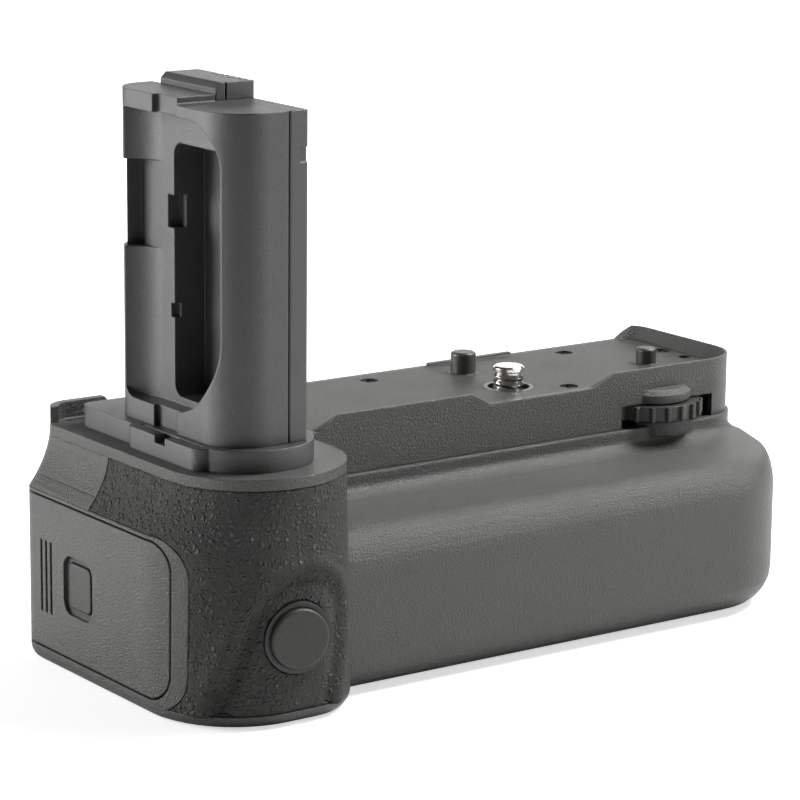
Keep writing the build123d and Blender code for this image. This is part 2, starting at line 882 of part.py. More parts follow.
def rim_solid():
    """Raised rim along the front and the right of the deck, with ramps where it starts and dips."""
    outer = band_outline(0, 0, rim_height, -rim_left_foot)
    faces = []
    for z, inset in ((0, rim_foot), (rim_height, rim_edge)):
        corners = [skin_thickness, band_corner - inset, body_corner_back - inset, skin_thickness]
        x1, y0, y1 = band_right - inset, -band_front + inset, back - inset
        faces.append(rounded_outline(-rim_left_foot - overrun, x1, y0, y1, z, corners))
    rim = outer - loft(faces, ruled=True)
    front_line = [
        (-rim_left_foot - overrun, 0), (-rim_left_foot, 0), (-rim_left_crest, rim_height),
        (-rim_dip_left_crest, rim_height), (-rim_dip_left_foot, rim_low_height),
        (rim_dip_right_foot, rim_low_height), (rim_dip_right_crest, rim_height),
    ]
    back_line = [
        (-rim_left_foot - overrun, 0), (right - back_lip_foot_inset, 0),
        (right - back_lip_crest_inset, rim_height),
    ]
    top = rim_height + overrun
    rim -= ramp_cut(front_line, -band_front - overrun, 0, top)
    return rim - ramp_cut(back_line, 0, back + overrun, top)


def corner_lip():
    """Raised lip round the back left corner of the grip end."""
    x0 = left + grip_flare
    inset = corner_lip_thickness
    y0 = collar_back - grip_corner_back
    z0, z1 = -collar_thickness, corner_lip_height
    c = skin_thickness / 2
    lip = rounded_plate(x0, -corner_lip_foot, y0, back, z0, z1, [c, c, c, grip_corner_back])
    y1 = back - inset
    lip -= rounded_plate(x0 + inset, right, y0 - overrun, y1, 0, z1, [c, c, c, grip_corner_back - inset])
    line = [(-corner_lip_crest, corner_lip_height), (-corner_lip_foot, 0), (-corner_lip_foot + overrun, 0)]
    lip -= ramp_cut(line, y0 - overrun, back + overrun, corner_lip_height + overrun)
    return lip & block(left, right, collar_back + plate_gap, back, z0, z1)


def collar_area(gap, z0, z1):
    """Outline of the part of the grip end's top that the collar covers."""
    corners = [skin_thickness, skin_thickness, collar_corner_back + gap, skin_thickness]
    x1, y1 = -collar_right + gap, collar_back + gap
    return rounded_plate(left - overrun, x1, front - overrun, y1, z0, z1, corners)


def web(x, y, x1, y1, z0, z1):
    """Rib from a post to a wall, along X or along Y."""
    half = casing_web / 2
    if x == x1:
        return block(x - half, x + half, y, y1, z0, z1)
    return block(x, x1, y - half, y + half, z0, z1)


def make_top_frame(skin):
    """Upper housing: flared grip end, band with raised rims, ledge, bosses and posts down to the floor."""
    frame = grip_solid(upper_drops(), 0) + band_outline(0, -seam_drop, 0, band_left) + corner_lip()
    guard = rod(guard_radius, wheel_x, -wheel_y, -slot_top_drop, -guard_top_drop)
    guard = chamfer(guard.edges().group_by(Axis.Z)[-1], guard_round)
    frame += guard & block(0, right, -bulge_front, -band_front + rim_foot, -slot_top_drop, 0)
    frame += rim_solid()
    drops = [frame_ceiling] + [d for d in upper_drops() if d > frame_ceiling] + [seam_drop + overrun]
    frame -= grip_solid(drops, wall + skin_thickness)
    frame -= band_outline(band_wall, -seam_drop - overrun, -ledge_bottom, band_left)
    frame -= band_outline(band_wall + rim_ledge, -ledge_bottom - overrun, rim_height, -plate_left + rim_ledge)
    frame -= band_outline(rim_foot, -rim_ledge_depth, 0, -plate_left)
    wall_y0, wall_y1 = -band_front + band_wall, back - band_wall
    wall_x1 = band_right - band_wall
    for x, y in plate_screw_places[:3]:
        frame += rod(boss_radius, x, y, -boss_depth, -rim_ledge_depth)
        frame += web(x, y, x, wall_y1 if y > 0 else wall_y0, -boss_depth, -rim_ledge_depth)
    x, y = plate_screw_places[3]
    frame += rod(boss_radius, x, y, -boss_depth, -rim_ledge_depth)
    frame += web(x, y, wall_x1, y, -boss_depth, -rim_ledge_depth)
    for x, y in casing_places[:2]:
        frame += web(x, y, wall_x1, y, -seam_drop, -ledge_bottom)
    for x, y in casing_places:
        z1 = -ledge_bottom if x > 0 else -frame_ceiling
        low = floor_top + casing_boss_height
        high = bottom + casing_screw_recess + casing_screw_length
        frame += rod(casing_post_radius, x, y, low, z1)
        frame -= rod(casing_screw_shank, x, y, low - overrun, high)
    strip_front = back - back_strip_depth
    frame += block(-back_strip_left, back_strip_right, strip_front, back, -rim_ledge_depth, back_strip_height)
    frame -= collar_area(0, -collar_thickness, corner_lip_height)
    frame -= skin
    slot_low = -seam_drop - overrun
    cut_back = -band_front + rim_foot + rim_ledge
    frame -= block(slot_left, slot_right, -bulge_front, cut_back, slot_low, -slot_top_drop)
    frame -= rod(wheel_boss_radius + plate_gap, wheel_x, -wheel_y, -ledge_bottom - overrun, -rim_ledge_depth)
    for x, y in plate_screw_places:
        frame -= rod(plate_screw_shank, x, y, -boss_depth - overrun, 0)
    hole = extrude(SlotOverall(deck_hole_length, deck_hole_width), amount=deck_hole_depth + overrun)
    frame -= Pos(-deck_hole_x, deck_hole_y, -deck_hole_depth) * hole
    for x, y in platform_screw_places:
        frame -= rod(plate_screw_shank, x, y, -frame_ceiling - overrun, 0)
    return frame - lead_hole(-frame_ceiling - overrun, 0)


def lead_hole(z0, z1):
    """Opening for the ribbon under the tower's cover."""
    x = -(tower_seam + tower_right) / 2
    half = lead_hole_width / 2
    return block(
        x - half, x + half, lead_hole_y - lead_hole_length / 2, lead_hole_y + lead_hole_length / 2, z0, z1,
    )


def make_collar():
    """Flat collar under the tower, whose edge goes on with the flare."""
    collar = grip_solid([0, collar_thickness], 0) & collar_area(-plate_gap, -collar_thickness, 0)
    for x, y in platform_screw_places:
        collar -= rod(plate_screw_shank, x, y, -collar_thickness - overrun, overrun)
    return collar - lead_hole(-collar_thickness - overrun, overrun)


def make_top_plate():
    """Deck plate with posts for the chassis and the board, and the wheel axle's boss."""
    front_corner = band_corner - rim_foot - plate_gap
    corners = [skin_thickness, front_corner, body_corner_back - rim_foot, skin_thickness]
    plate = rounded_plate(-plate_left + plate_gap, plate_x1, plate_y0, plate_y1, -plate_thickness, 0, corners)
    for x, y in chassis_post_places:
        plate += rod(chassis_post_radius, x, y, chassis_top, -plate_thickness)
        plate -= rod(chassis_screw_shank, x, y, chassis_top - overrun, chassis_top + chassis_screw_depth)
    for x, y in board_post_places:
        plate += rod(board_post_radius, x, y, -board_drop, -plate_thickness)
    plate += rod(wheel_boss_radius, wheel_x, -wheel_y, -wheel_boss_drop, -plate_thickness)
    plate -= rod(wheel_axle_radius, wheel_x, -wheel_y, -wheel_boss_drop - overrun, -plate_thickness)
    plate -= rod(bush_outer_radius, 0, 0, -plate_thickness - overrun, overrun)
    for x, y, radius in (long_pin_place, short_pin_place):
        hole = radius + pin_shoulder + running_clearance
        plate -= rod(hole, x, y, -plate_thickness - overrun, overrun)
    plate -= rod(plate_hole_radius, plate_hole_x, plate_hole_y, -plate_thickness - overrun, overrun)
    for x, y in plate_screw_places:
        plate -= rod(plate_screw_shank, x, y, -plate_thickness - overrun, overrun)
        plate -= rod(plate_screw_head, x, y, -plate_screw_recess - plate_screw_head_height, overrun)
    return plate


def make_pin(x, y, radius, height):
    """Locating pin with a rounded top, a shoulder level with the deck and a flange below."""
    pin = rod(radius, x, y, 0, height)
    pin = fillet(pin.edges().group_by(Axis.Z)[-1], pin_crown)
    pin += rod(radius + pin_shoulder, x, y, -plate_thickness, 0)
    low = -plate_thickness - pin_flange_thickness
    return pin + rod(radius + pin_flange_reach, x, y, low, -plate_thickness)


def make_screw():
    """Camera screw: threaded end, neck, flange, hub and lower journal."""
    head = rod(thread_radius, 0, 0, 0, thread_height)
    head = chamfer(head.edges().group_by(Axis.Z)[-1], thread_tip_chamfer)
    flange_top = -bush_depth - running_clearance * 2
    flange_low = flange_top - screw_flange_thickness
    screw = head + rod(neck_radius, 0, 0, chassis_bottom, 0)
    screw += rod(screw_flange_radius, 0, 0, flange_low, flange_top)
    return screw + rod(screw_hub_radius, 0, 0, -gear_top_drop, flange_low)


def make_bush():
    """Bush round the camera screw, flanged under the deck."""
    bush = rod(bush_outer_radius, 0, 0, -bush_depth, 0)
    bush += rod(bush_flange_radius, 0, 0, -plate_thickness - bush_flange_thickness, -plate_thickness)
    bush -= rod(neck_radius + running_clearance, 0, 0, -bush_depth - overrun, overrun)
    return bush - rod(bush_mouth_radius, 0, 0, -bush_mouth_depth, overrun)


def make_chassis():
    """Plate under the gears, hung from the deck plate's posts."""
    corners = [chassis_corner] * 4
    plate = rounded_plate(
        -chassis_left, chassis_right, -chassis_front, chassis_back, chassis_bottom, chassis_top, corners,
    )
    low, high = chassis_bottom - overrun, chassis_top + overrun
    plate -= rod(neck_radius + running_clearance, 0, 0, low, high)
    plate -= rod(idler_bore_axle, idler_x, idler_y, low, high)
    plate -= rod(wheel_axle_radius, wheel_x, -wheel_y, low, high)
    for x, y in chassis_post_places:
        plate -= rod(chassis_screw_shank, x, y, low, high)
    return plate


def make_idler_axle():
    """Headed axle of the idler gear."""
    axle = rod(idler_bore_axle, idler_x, idler_y, chassis_bottom, -idler_axle_top)
    head_low = -idler_axle_top - idler_head_thickness
    return axle + rod(idler_head_radius, idler_x, idler_y, head_low, -idler_axle_top)


def make_wheel():
    """Ribbed thumbwheel."""
    low = -wheel_top_drop - wheel_thickness
    wheel = rod(wheel_radius, 0, 0, low, -wheel_top_drop)
    reach, half = wheel_radius + wheel_rib_height, wheel_rib_width / 2
    rib = block(wheel_radius - overrun, reach, -half, half, low, -wheel_top_drop)
    edges = rib.edges().filter_by(Axis.Z).group_by(Axis.X)[-1]
    rib = chamfer(edges, wheel_edge_chamfer)
    for index in range(wheel_ribs):
        wheel += Rot(0, 0, 360 / wheel_ribs * index) * rib
    wheel -= rod(wheel_axle_radius + running_clearance, 0, 0, low - overrun, 0)
    return Pos(wheel_x, -wheel_y, 0) * wheel


def make_pinion():
    """Pinion under the thumbwheel, with a hub up to it."""
    bore = wheel_axle_radius + running_clearance
    pinion = gear(pinion_teeth, wheel_x, -wheel_y, pinion_phase, gear_bottom, -gear_top_drop, bore)
    hub_top = -wheel_top_drop - wheel_thickness
    hub = rod(pinion_hub_radius, wheel_x, -wheel_y, -gear_top_drop, hub_top)
    return pinion + (hub - rod(bore, wheel_x, -wheel_y, -gear_top_drop - overrun, hub_top + overrun))


def tray_bays():
    """Left and right ends of the two battery bays."""
    first = chamber_right + tray_end_wall
    second = first + battery_length + tray_end_wall
    return [(first, first + battery_length), (second, second + battery_length)]


def make_tray():
    """Tray with two battery bays and the latch's chamber."""
    corners = [skin_thickness, tray_corner, tray_corner, skin_thickness]
    tray = rounded_plate(tray_left, tray_right, tray_front, tray_back, tray_bottom, tray_top, corners)
    bevel = 2 * tray_bevel / sqrt(2)
    edge = Pos((tray_left + tray_right) / 2, tray_front, tray_bottom) * Rot(45, 0, 0)
    tray -= edge * Box(tray_length + overrun, bevel, bevel)
    y0, y1 = tray_front + tray_side, tray_back - tray_side
    z0 = tray_bottom + tray_floor
    middle_y = (y0 + y1) / 2
    for x0, x1 in tray_bays():
        tray -= block(x0, x1, y0, y1, z0, tray_top + overrun)
        inset = tray_window_inset
        tray -= block(x0 + inset, x1 - inset, y0 + inset, y1 - inset, tray_bottom - overrun, z0 + overrun)
        finger = Pos((x0 + x1) / 2, middle_y, tray_top) * Rot(90, 0, 0)
        tray -= finger * Cylinder(tray_finger_radius, tray_width + overrun)
    tray -= block(tray_left + chamber_face, chamber_right, y0, y1, z0, tray_top + overrun)
    window = button_window
    tray -= block(
        tray_left - overrun, tray_left + chamber_face + overrun, button_y - window, button_y + window,
        -button_drop - window, -button_drop + window,
    )
    tray -= grip_ring(cap_thickness) & block(left, chamber_right, front, back, bottom, -seam_drop)
    half = bolt_width / 2 + chamber_wall_gap
    guide_left = bolt_left - chamber_wall_gap
    for side in (-1, 1):
        near, far = button_y + side * half, button_y + side * (half + guide_width)
        low = -guide_drop - guide_height
        tray += block(guide_left, chamber_right, min(near, far), max(near, far), low, -guide_drop)
    reach = half + guide_width
    tray += block(
        guide_left - keeper_thickness, guide_left, button_y - reach, button_y + reach,
        -keeper_drop - keeper_height, -keeper_drop,
    )
    reach = (bolt_left + bolt_right) / 2 - spring_radius
    tray += block(
        reach, chamber_right, button_y - 2 * spring_radius, button_y + 2 * spring_radius,
        spring_bottom - spring_seat, spring_bottom,
    )
    for y, z in cap_screw_places:
        tray -= rod_x(cap_screw_radius, tray_left - overrun, tray_left + chamber_face + overrun, y, z)
    for y in pad_places():
        tray -= block(tray_right - tray_pad, tray_right + overrun, *pad_size(y))
    return tray


def pad_places():
    """Places across the bay of the contacts."""
    first = (tray_front + tray_back) / 2 - bay_contact_pitch * (bay_contact_count - 1) / 2
    return [first + bay_contact_pitch * index for index in range(bay_contact_count)]


def pad_size(y):
    """Width and height of a contact, as the ends of a block."""
    z = (tray_top + tray_bottom) / 2
    half = bay_blade_width / 2
    return y - half, y + half, z - bay_blade_height / 2, z + bay_blade_height / 2


def make_tray_contacts():
    """Contact pads at the end of the tray and leaves in the bays."""
    pads = []
    for y in pad_places():
        pads.append(block(tray_right - tray_pad, tray_right, *pad_size(y)))
        for x0, x1 in tray_bays():
            pads.append(block(x1 - tray_pad, x1, *pad_size(y)))
    return Compound(children=[pad.solids()[0] for pad in pads])


def make_sleeve():
    """Sheet sleeve that the tray slides in, open to the left."""
    corners = [skin_thickness, sleeve_corner, sleeve_corner, skin_thickness]
    sleeve = rounded_plate(
        -sleeve_left, sleeve_right, sleeve_front, sleeve_back, sleeve_bottom, sleeve_top, corners,
    )
    t = sleeve_sheet
    inner = [skin_thickness, sleeve_corner - t, sleeve_corner - t, skin_thickness]
    x0 = -sleeve_left - overrun - skin_thickness
    return sleeve - rounded_plate(
        x0, sleeve_right - t, sleeve_front + t, sleeve_back - t, sleeve_bottom + t, sleeve_top - t, inner,
    )


def make_bay_contacts():
    """Contact block at the closed end of the sleeve."""
    x1 = sleeve_right - sleeve_sheet
    x0 = x1 - bay_contact_thickness
    middle = (tray_front + tray_back) / 2
    z = (tray_top + tray_bottom) / 2
    half_y, half_z = bay_contact_width / 2, bay_contact_height / 2
    body = block(x0, x1, middle - half_y, middle + half_y, z - half_z, z + half_z)
    for y in pad_places():
        body += block(x0 - bay_blade_reach, x0, *pad_size(y))
    return body


def make_bezel():
    """Bezel round the end cap, following the grip's outline."""
    ring = grip_ring(bezel_thickness) & bezel_window()
    return ring - cap_window(cap_gap, left + cap_wrap + overrun)


def button_plate(x0, x1, margin):
    """Rounded plate on the release button's outline."""
    half_y = button_width / 2 + margin
    half_z = button_height / 2 + margin
    corners = [button_corner + max(margin, 0)] * 4
    y0, y1 = button_y - half_y, button_y + half_y
    return side_plate(x0, x1, y0, y1, -button_drop - half_z, -button_drop + half_z, corners)


def make_end_cap():
    """End cap of the tray, with three grooves and a scoop round the release button."""
    cap = grip_ring(cap_thickness) & cap_window(0, left + cap_wrap - cap_gap)
    for index in range(cap_grooves):
        y = cap_groove_y + cap_groove_pitch * (index - (cap_grooves - 1) / 2)
        half = cap_groove_width / 2
        z1 = -cap_groove_drop
        cap -= block(left - overrun, left + cap_groove_depth, y - half, y + half, z1 - cap_groove_length, z1)
    cap -= button_plate(left - overrun, left + scoop_depth, scoop_margin)
    cap -= button_plate(left - overrun, left + cap_thickness + overrun, button_gap)
    for y, z in cap_screw_places:
        cap -= rod_x(cap_screw_radius, tray_left + chamber_face - cap_screw_length, tray_left + overrun, y, z)
    return cap


def make_button():
    """Release button with a flange behind the cap."""
    x0 = left + button_recess
    button = button_plate(x0, x0 + button_depth, 0)
    button = fillet(button.faces().sort_by(Axis.X)[0].edges(), button_gap)
    flange = tray_left + button_flange_gap
    return button + button_plate(flange, flange + button_flange_thickness, button_flange)


def make_spring():
    """Coil spring between its seat on the tray and the latch bolt."""
    rise = spring_length - spring_wire
    radius = spring_radius - spring_wire / 2
    path = Helix(pitch=rise / spring_turns, height=rise, radius=radius)
    section = Plane(origin=path @ 0, z_dir=path % 0) * Circle(spring_wire / 2)
    coil = sweep(section, path=path, is_frenet=True)
    return Pos((bolt_left + bolt_right) / 2, button_y, spring_bottom + spring_wire / 2) * coil


def make_cap_screws():
    """Screws from the latch chamber into the end cap."""
    group = []
    x = tray_left + chamber_face
    for y, z in cap_screw_places:
        body = rod_x(cap_screw_head, x, x + cap_screw_head_height, y, z)
        group.append(body + rod_x(cap_screw_radius, x - cap_screw_length, x, y, z))
    return Compound(children=[one.solids()[0] for one in group])


def make_shutter_ring():
    """Ring and barrel round the shutter button, with a floor that guides its stem."""
    ring = shutter_rod(shutter_ring_radius, -shutter_ring_proud, shutter_board_front)
    bore = shutter_button_radius + running_clearance
    floor_back = shutter_floor_front + shutter_floor
    ring -= shutter_rod(bore, -shutter_ring_proud - overrun, shutter_floor_front)
    ring -= shutter_rod(bore, floor_back, shutter_board_front + overrun)
    return ring - shutter_rod(shutter_stem_radius + running_clearance, 0, shutter_board_front)


def make_shutter_button():
    """Round shutter button with its stem."""
    button_back = shutter_button_depth - shutter_button_proud
    button = shutter_rod(shutter_button_radius, -shutter_button_proud, button_back)
    edges = button.edges().sort_by(Axis.Y)
    button = fillet(edges[0], shutter_button_crown)
    return button + shutter_rod(shutter_stem_radius, button_back, shutter_stem_end)


def shutter_block(size, depth0, depth1):
    """Square block on the shutter button's axis, between two depths."""
    shape = shutter_rod(size, depth0, depth1)
    middle = Plane(origin=(-shutter_x, shutter_y, -shutter_drop), z_dir=(*shutter_out, 0), x_dir=(0, 0, 1))
    return shape & (middle.location * Pos(0, 0, -(depth0 + depth1) / 2) * Box(size, size, depth1 - depth0))


def make_switch():
    """Switch behind the shutter button, with its plunger."""
    body = shutter_block(switch_size, switch_front, shutter_board_front)
    return body + shutter_rod(switch_plunger_radius, switch_front - switch_plunger_height, switch_front)


def make_casing_screws():
    """Screws up through the floor into the posts of the upper housing."""
    group = []
    z = bottom + casing_screw_recess
    for x, y in casing_places:
        body = rod(casing_screw_head, x, y, z, z + casing_screw_head_height)
        body += rod(casing_screw_shank, x, y, z + casing_screw_head_height, z + casing_screw_length)
        group.append(cross_recess(body, x, y, z, 1))
    return Compound(children=[one.solids()[0] for one in group])


def cross_recess(body, x, y, z, side):
    """Cut a cross recess into a screw head's face at z; side points into the head."""
    for along, across in ((cross_span, cross_width), (cross_width, cross_span)):
        x0, x1 = x - along / 2, x + along / 2
        y0, y1 = y - across / 2, y + across / 2
        low, high = sorted((z - side * overrun, z + side * cross_depth))
        body -= block(x0, x1, y0, y1, low, high)
    return body


def make_plate_screws():
    """Recessed screws of the deck plate."""
    group = []
    z = -plate_screw_recess
    for x, y in plate_screw_places:
        body = rod(plate_screw_head, x, y, z - plate_screw_head_height, z)
        body += rod(plate_screw_shank, x, y, -plate_screw_length, z - plate_screw_head_height)
        group.append(cross_recess(body, x, y, z, -1))
    return Compound(children=[one.solids()[0] for one in group])


def make_chassis_screws():
    """Screws that hold the chassis to the deck plate's posts."""
    group = []
    for x, y in chassis_post_places:
        body = rod(chassis_screw_head, x, y, chassis_bottom - chassis_screw_head_height, chassis_bottom)
        body += rod(chassis_screw_shank, x, y, chassis_bottom, chassis_bottom + chassis_screw_length)
        group.append(cross_recess(body, x, y, chassis_bottom - chassis_screw_head_height, 1))
    return Compound(children=[one.solids()[0] for one in group])


def make_platform_screws():
    """Screws up through the grip's ceiling and collar into the tower's platform."""
    group = []
    z = -frame_ceiling
    for x, y in platform_screw_places:
        body = rod(tower_screw_head, x, y, z - tower_screw_head_height, z)
        body += rod(plate_screw_shank, x, y, z, z + platform_screw_length)
        group.append(cross_recess(body, x, y, z - tower_screw_head_height, 1))
    return Compound(children=[one.solids()[0] for one in group])


def make_socket():
    """Tripod socket in the floor, flanged inside."""
    socket = rod(socket_radius, 0, 0, bottom, bottom + socket_height)
    socket += rod(socket_flange_radius, 0, 0, floor_top, floor_top + socket_flange_thickness)
    return socket - rod(socket_bore, 0, 0, bottom - overrun, bottom + socket_height + overrun)


def make_board():
    """Main circuit board under the deck."""
    corners = [board_corner] * 4
    low = -board_drop - board_thickness
    return rounded_plate(-board_left, -board_right, -board_front, board_back, low, -board_drop, corners)


def make_chips():
    """Chips and a connector on the underside of the main board."""
    z1 = -board_drop - board_thickness
    z0 = z1 - chip_height
    half = chip_size / 2
    middle = (board_back - board_front) / 2
    group = []
    for index in range(chip_count):
        x = -board_left + chip_pitch * (index + 1 / 2) + half / 2
        group.append(block(x - half, x + half, middle - half, middle + half, z0, z1))
    x = -board_right - connector_width
    reach, span = connector_width / 2, connector_length / 2
    group.append(block(x - reach, x + reach, middle - span, middle + span, z0, z1))
    return Compound(children=[one.solids()[0] for one in group])


def make_ribbon():
    """Flat lead from inside the tower's cover to the main board."""
    x = -(tower_seam + tower_right) / 2
    y0, y1 = lead_hole_y - ribbon_width / 2, lead_hole_y + ribbon_width / 2
    z = -board_drop + ribbon_thickness
    lead = block(x, x + ribbon_thickness, y0, y1, -board_drop, ribbon_top)
    return lead + block(x, -board_left + ribbon_overlap, y0, y1, -board_drop, z)


def make_platform():
    """Platform of the tower, with a tongue and a shallow groove on its left side."""
    corners = [platform_corner_left, platform_corner_left, platform_corner, platform_corner]
    x0, x1 = -platform_left, -platform_right
    platform = rounded_plate(x0, x1, -platform_front, platform_back, 0, platform_height, corners)
    tongue = [platform_corner] * 4
    platform += rounded_plate(
        x0 - tongue_reach, x0 + 2 * platform_corner, -tongue_front, -tongue_back, 0, platform_height, tongue,
    )
    z1 = platform_height
    groove_y0, groove_y1 = -tongue_front + tongue_groove_margin, -tongue_back - tongue_groove_margin
    gx = x0 + tongue_groove_width
    low = z1 - tongue_groove_depth
    platform -= block(gx, gx + tongue_groove_width, groove_y0, groove_y1, low, z1 + overrun)
    middle = (groove_y0 + groove_y1) / 2
    half = tongue_notch_width / 2
    platform -= block(
        x0 - tongue_reach - overrun, gx, middle - half, middle + half, z1 - tongue_notch_depth, z1 + overrun,
    )
    for x, y in platform_screw_places:
        platform -= rod(plate_screw_shank, x, y, -overrun, platform_screw_length - frame_ceiling)
    return platform - lead_hole(-overrun, platform_height + overrun)


def pocket_plate(x0, x1):
    """Outline of the shallow pocket in the tower's left face."""
    corners = [pocket_arc_bottom, pocket_arc_back, pocket_arc_back_top, pocket_arc_top]
    z0, z1 = platform_height + pocket_bottom, platform_height + pocket_top
    return side_plate(x0, x1, -pocket_front, pocket_back, z0, z1, corners)


def make_tower_shell():
    """Hollowed half of the tower with its pocket, deep slot and small tab pockets."""
    x0, x1 = -tower_left, -tower_seam - seam_gap / 2
    base = platform_height
    corners = [tower_front_corner, tower_small_corner / 2, tower_small_corner / 2, tower_back_corner]
    outline = rounded_plate(x0, x1, -tower_front, tower_back, base, tower_top, corners)
    tower = outline
    cap_corners = [tower_small_corner, tower_small_corner / 2, tower_small_corner / 2, tower_back_corner]
    cap_z1 = tower_top + cap_level
    tower += rounded_plate(x0, -block_left, -cap_front_line, tower_back, tower_top, cap_z1, cap_corners)
    floor = x0 + pocket_depth
    tower -= pocket_plate(x0 - overrun, floor)
    for low, high in ((pocket_bottom, scoop_low_top), (scoop_high_bottom, pocket_top)):
        tower += back_filler(base + low, base + high, floor) & outline
    slot_z0, slot_z1 = base + slot_bottom, base + slot_top
    tower -= side_plate(
        floor - overrun, floor + slot_depth, -slot_front, -slot_back, slot_z0, slot_z1, [slot_corner] * 4,
    )
    z0, z1, back = base + scoop_low_top, base + scoop_high_bottom, tower_back - tower_waist
    waist = rounded_plate(x0 + tower_waist, x1, -tower_front, back, z0, z1, corners)
    tower -= block(x0 - overrun, floor, 0, tower_back + overrun, z0, z1) - waist
    tabs = (
        (tab_tall_bottom, tab_tall_height, tab_tall_width, tab_tall_depth),
        (tab_small_bottom, tab_small_height, tab_small_width, tab_small_depth),
    )
    for low, height, width, depth in tabs:
        y0, z0 = -slot_back - overrun, base + low
        tower -= block(floor - overrun, floor + depth, y0, -slot_back + width, z0, z0 + height)
    for z0, z1 in ((base - overrun, base + pocket_bottom), (base + pocket_top, tower_top + cap_level)):
        tower -= block(
            x0 - overrun, x0 + groove_depth, -groove_front_y, -groove_back_y, z0 - overrun, z1 + overrun,
        )
    for y, z in tower_screw_places:
        tip = -tower_right - tower_screw_recess - tower_screw_length
        tower -= rod_x(tower_screw_radius, tip, x1 + overrun, y, z)
    for x, y in platform_screw_places[:2]:
        tower -= rod(plate_screw_shank, x, y, base - overrun, base)
    return tower


def back_filler(z0, z1, floor):
    """Concave filler along the back wall of the tower's pocket."""
    x0, y1 = -tower_left, pocket_back
    filler = block(x0, floor, y1 - scoop_radius, y1 + overrun / 2, z0, z1)
    return filler - rod(scoop_radius, floor - scoop_radius, y1 - scoop_radius, z0 - overrun, z1 + overrun)


def make_tower_cover():
    """Cover of the tower's right side, hollowed for the board and the ribbon."""
    x0, x1 = -tower_seam + seam_gap / 2, -tower_right
    base = platform_height
    c = tower_small_corner
    cover = rounded_plate(x0, x1, -tower_front, tower_back, base, tower_top, [c / 2, c, c, c / 2])
    room = block(
        x0 - overrun, x1 - cover_wall, -tower_front + cover_wall, tower_back - cover_wall,
        base - overrun, tower_top - cover_top,
    )
    cover -= room
    for y, z in tower_screw_places:
        cover += rod_x(tower_boss_radius, x0, x1 - cover_wall, y, z)
        cover -= rod_x(tower_screw_radius, x0 - overrun, x1 + overrun, y, z)
        seat = x1 - tower_screw_recess - tower_screw_head_height
        cover -= rod_x(tower_screw_head, seat, x1 + overrun, y, z)
    z0 = base + cover_notch_bottom
    cover -= block(
        x1 - cover_notch_width, x1 + overrun, -tower_front - overrun, -tower_front + cover_notch_depth,
        z0, z0 + cover_notch_height,
    )
    return cover


def make_tower_board():
    """Narrow circuit board inside the cover."""
    x0 = -tower_seam + seam_gap / 2
    half = tower_board_width / 2
    z0 = platform_height + tower_board_low
    y0, y1 = -tower_board_y - half, -tower_board_y + half
    return block(x0, x0 + tower_board_thickness, y0, y1, z0, z0 + tower_board_length)


def make_tower_screws():
    """Screws through the cover into the tower."""
    group = []
    x = -tower_right - tower_screw_recess
    for y, z in tower_screw_places:
        body = rod_x(tower_screw_head, x - tower_screw_head_height, x, y, z)
        group.append(body + rod_x(tower_screw_radius, x - tower_screw_length, x, y, z))
    return Compound(children=[one.solids()[0] for one in group])


def blade_places():
    """Places of the contact blades along the block."""
    return [-blade_first_y + blade_pitch * index for index in range(blade_count)]


def make_contact_block():
    """Contact block on top of the tower, slotted for its blades."""
    x0, x1 = -block_left, -tower_right
    z0, z1 = tower_top, tower_top + block_height
    body = block(x0, x1, -cap_front_line, block_back, z0, z1)
    edge = body.edges().filter_by(Axis.Y).sort_by(lambda e: e.center().X - e.center().Z)[0]
    body = chamfer(edge, block_chamfer)
    gx, gy = -block_groove_x, -cap_front_line
    body -= block(gx, gx + block_groove, gy - overrun, gy + block_groove_depth, z0, z1 + overrun)
    half, low = blade_slot / 2, z1 - blade_slot_depth
    for y in blade_places():
        body -= block(x1 - blade_slot_reach, x1 + overrun, y - half, y + half, low, z1 + overrun)
    return body


def make_blades():
    """Contact blades in the slots of the block."""
    group = []
    x0, x1 = -tower_right - blade_slot_reach, -tower_right - blade_inset
    z0 = tower_top + block_height - blade_slot_depth
    for y in blade_places():
        half = blade_thickness / 2
        group.append(block(x0, x1, y - half, y + half, z0, tower_top + block_height - blade_inset))
    return Compound(children=[one.solids()[0] for one in group])


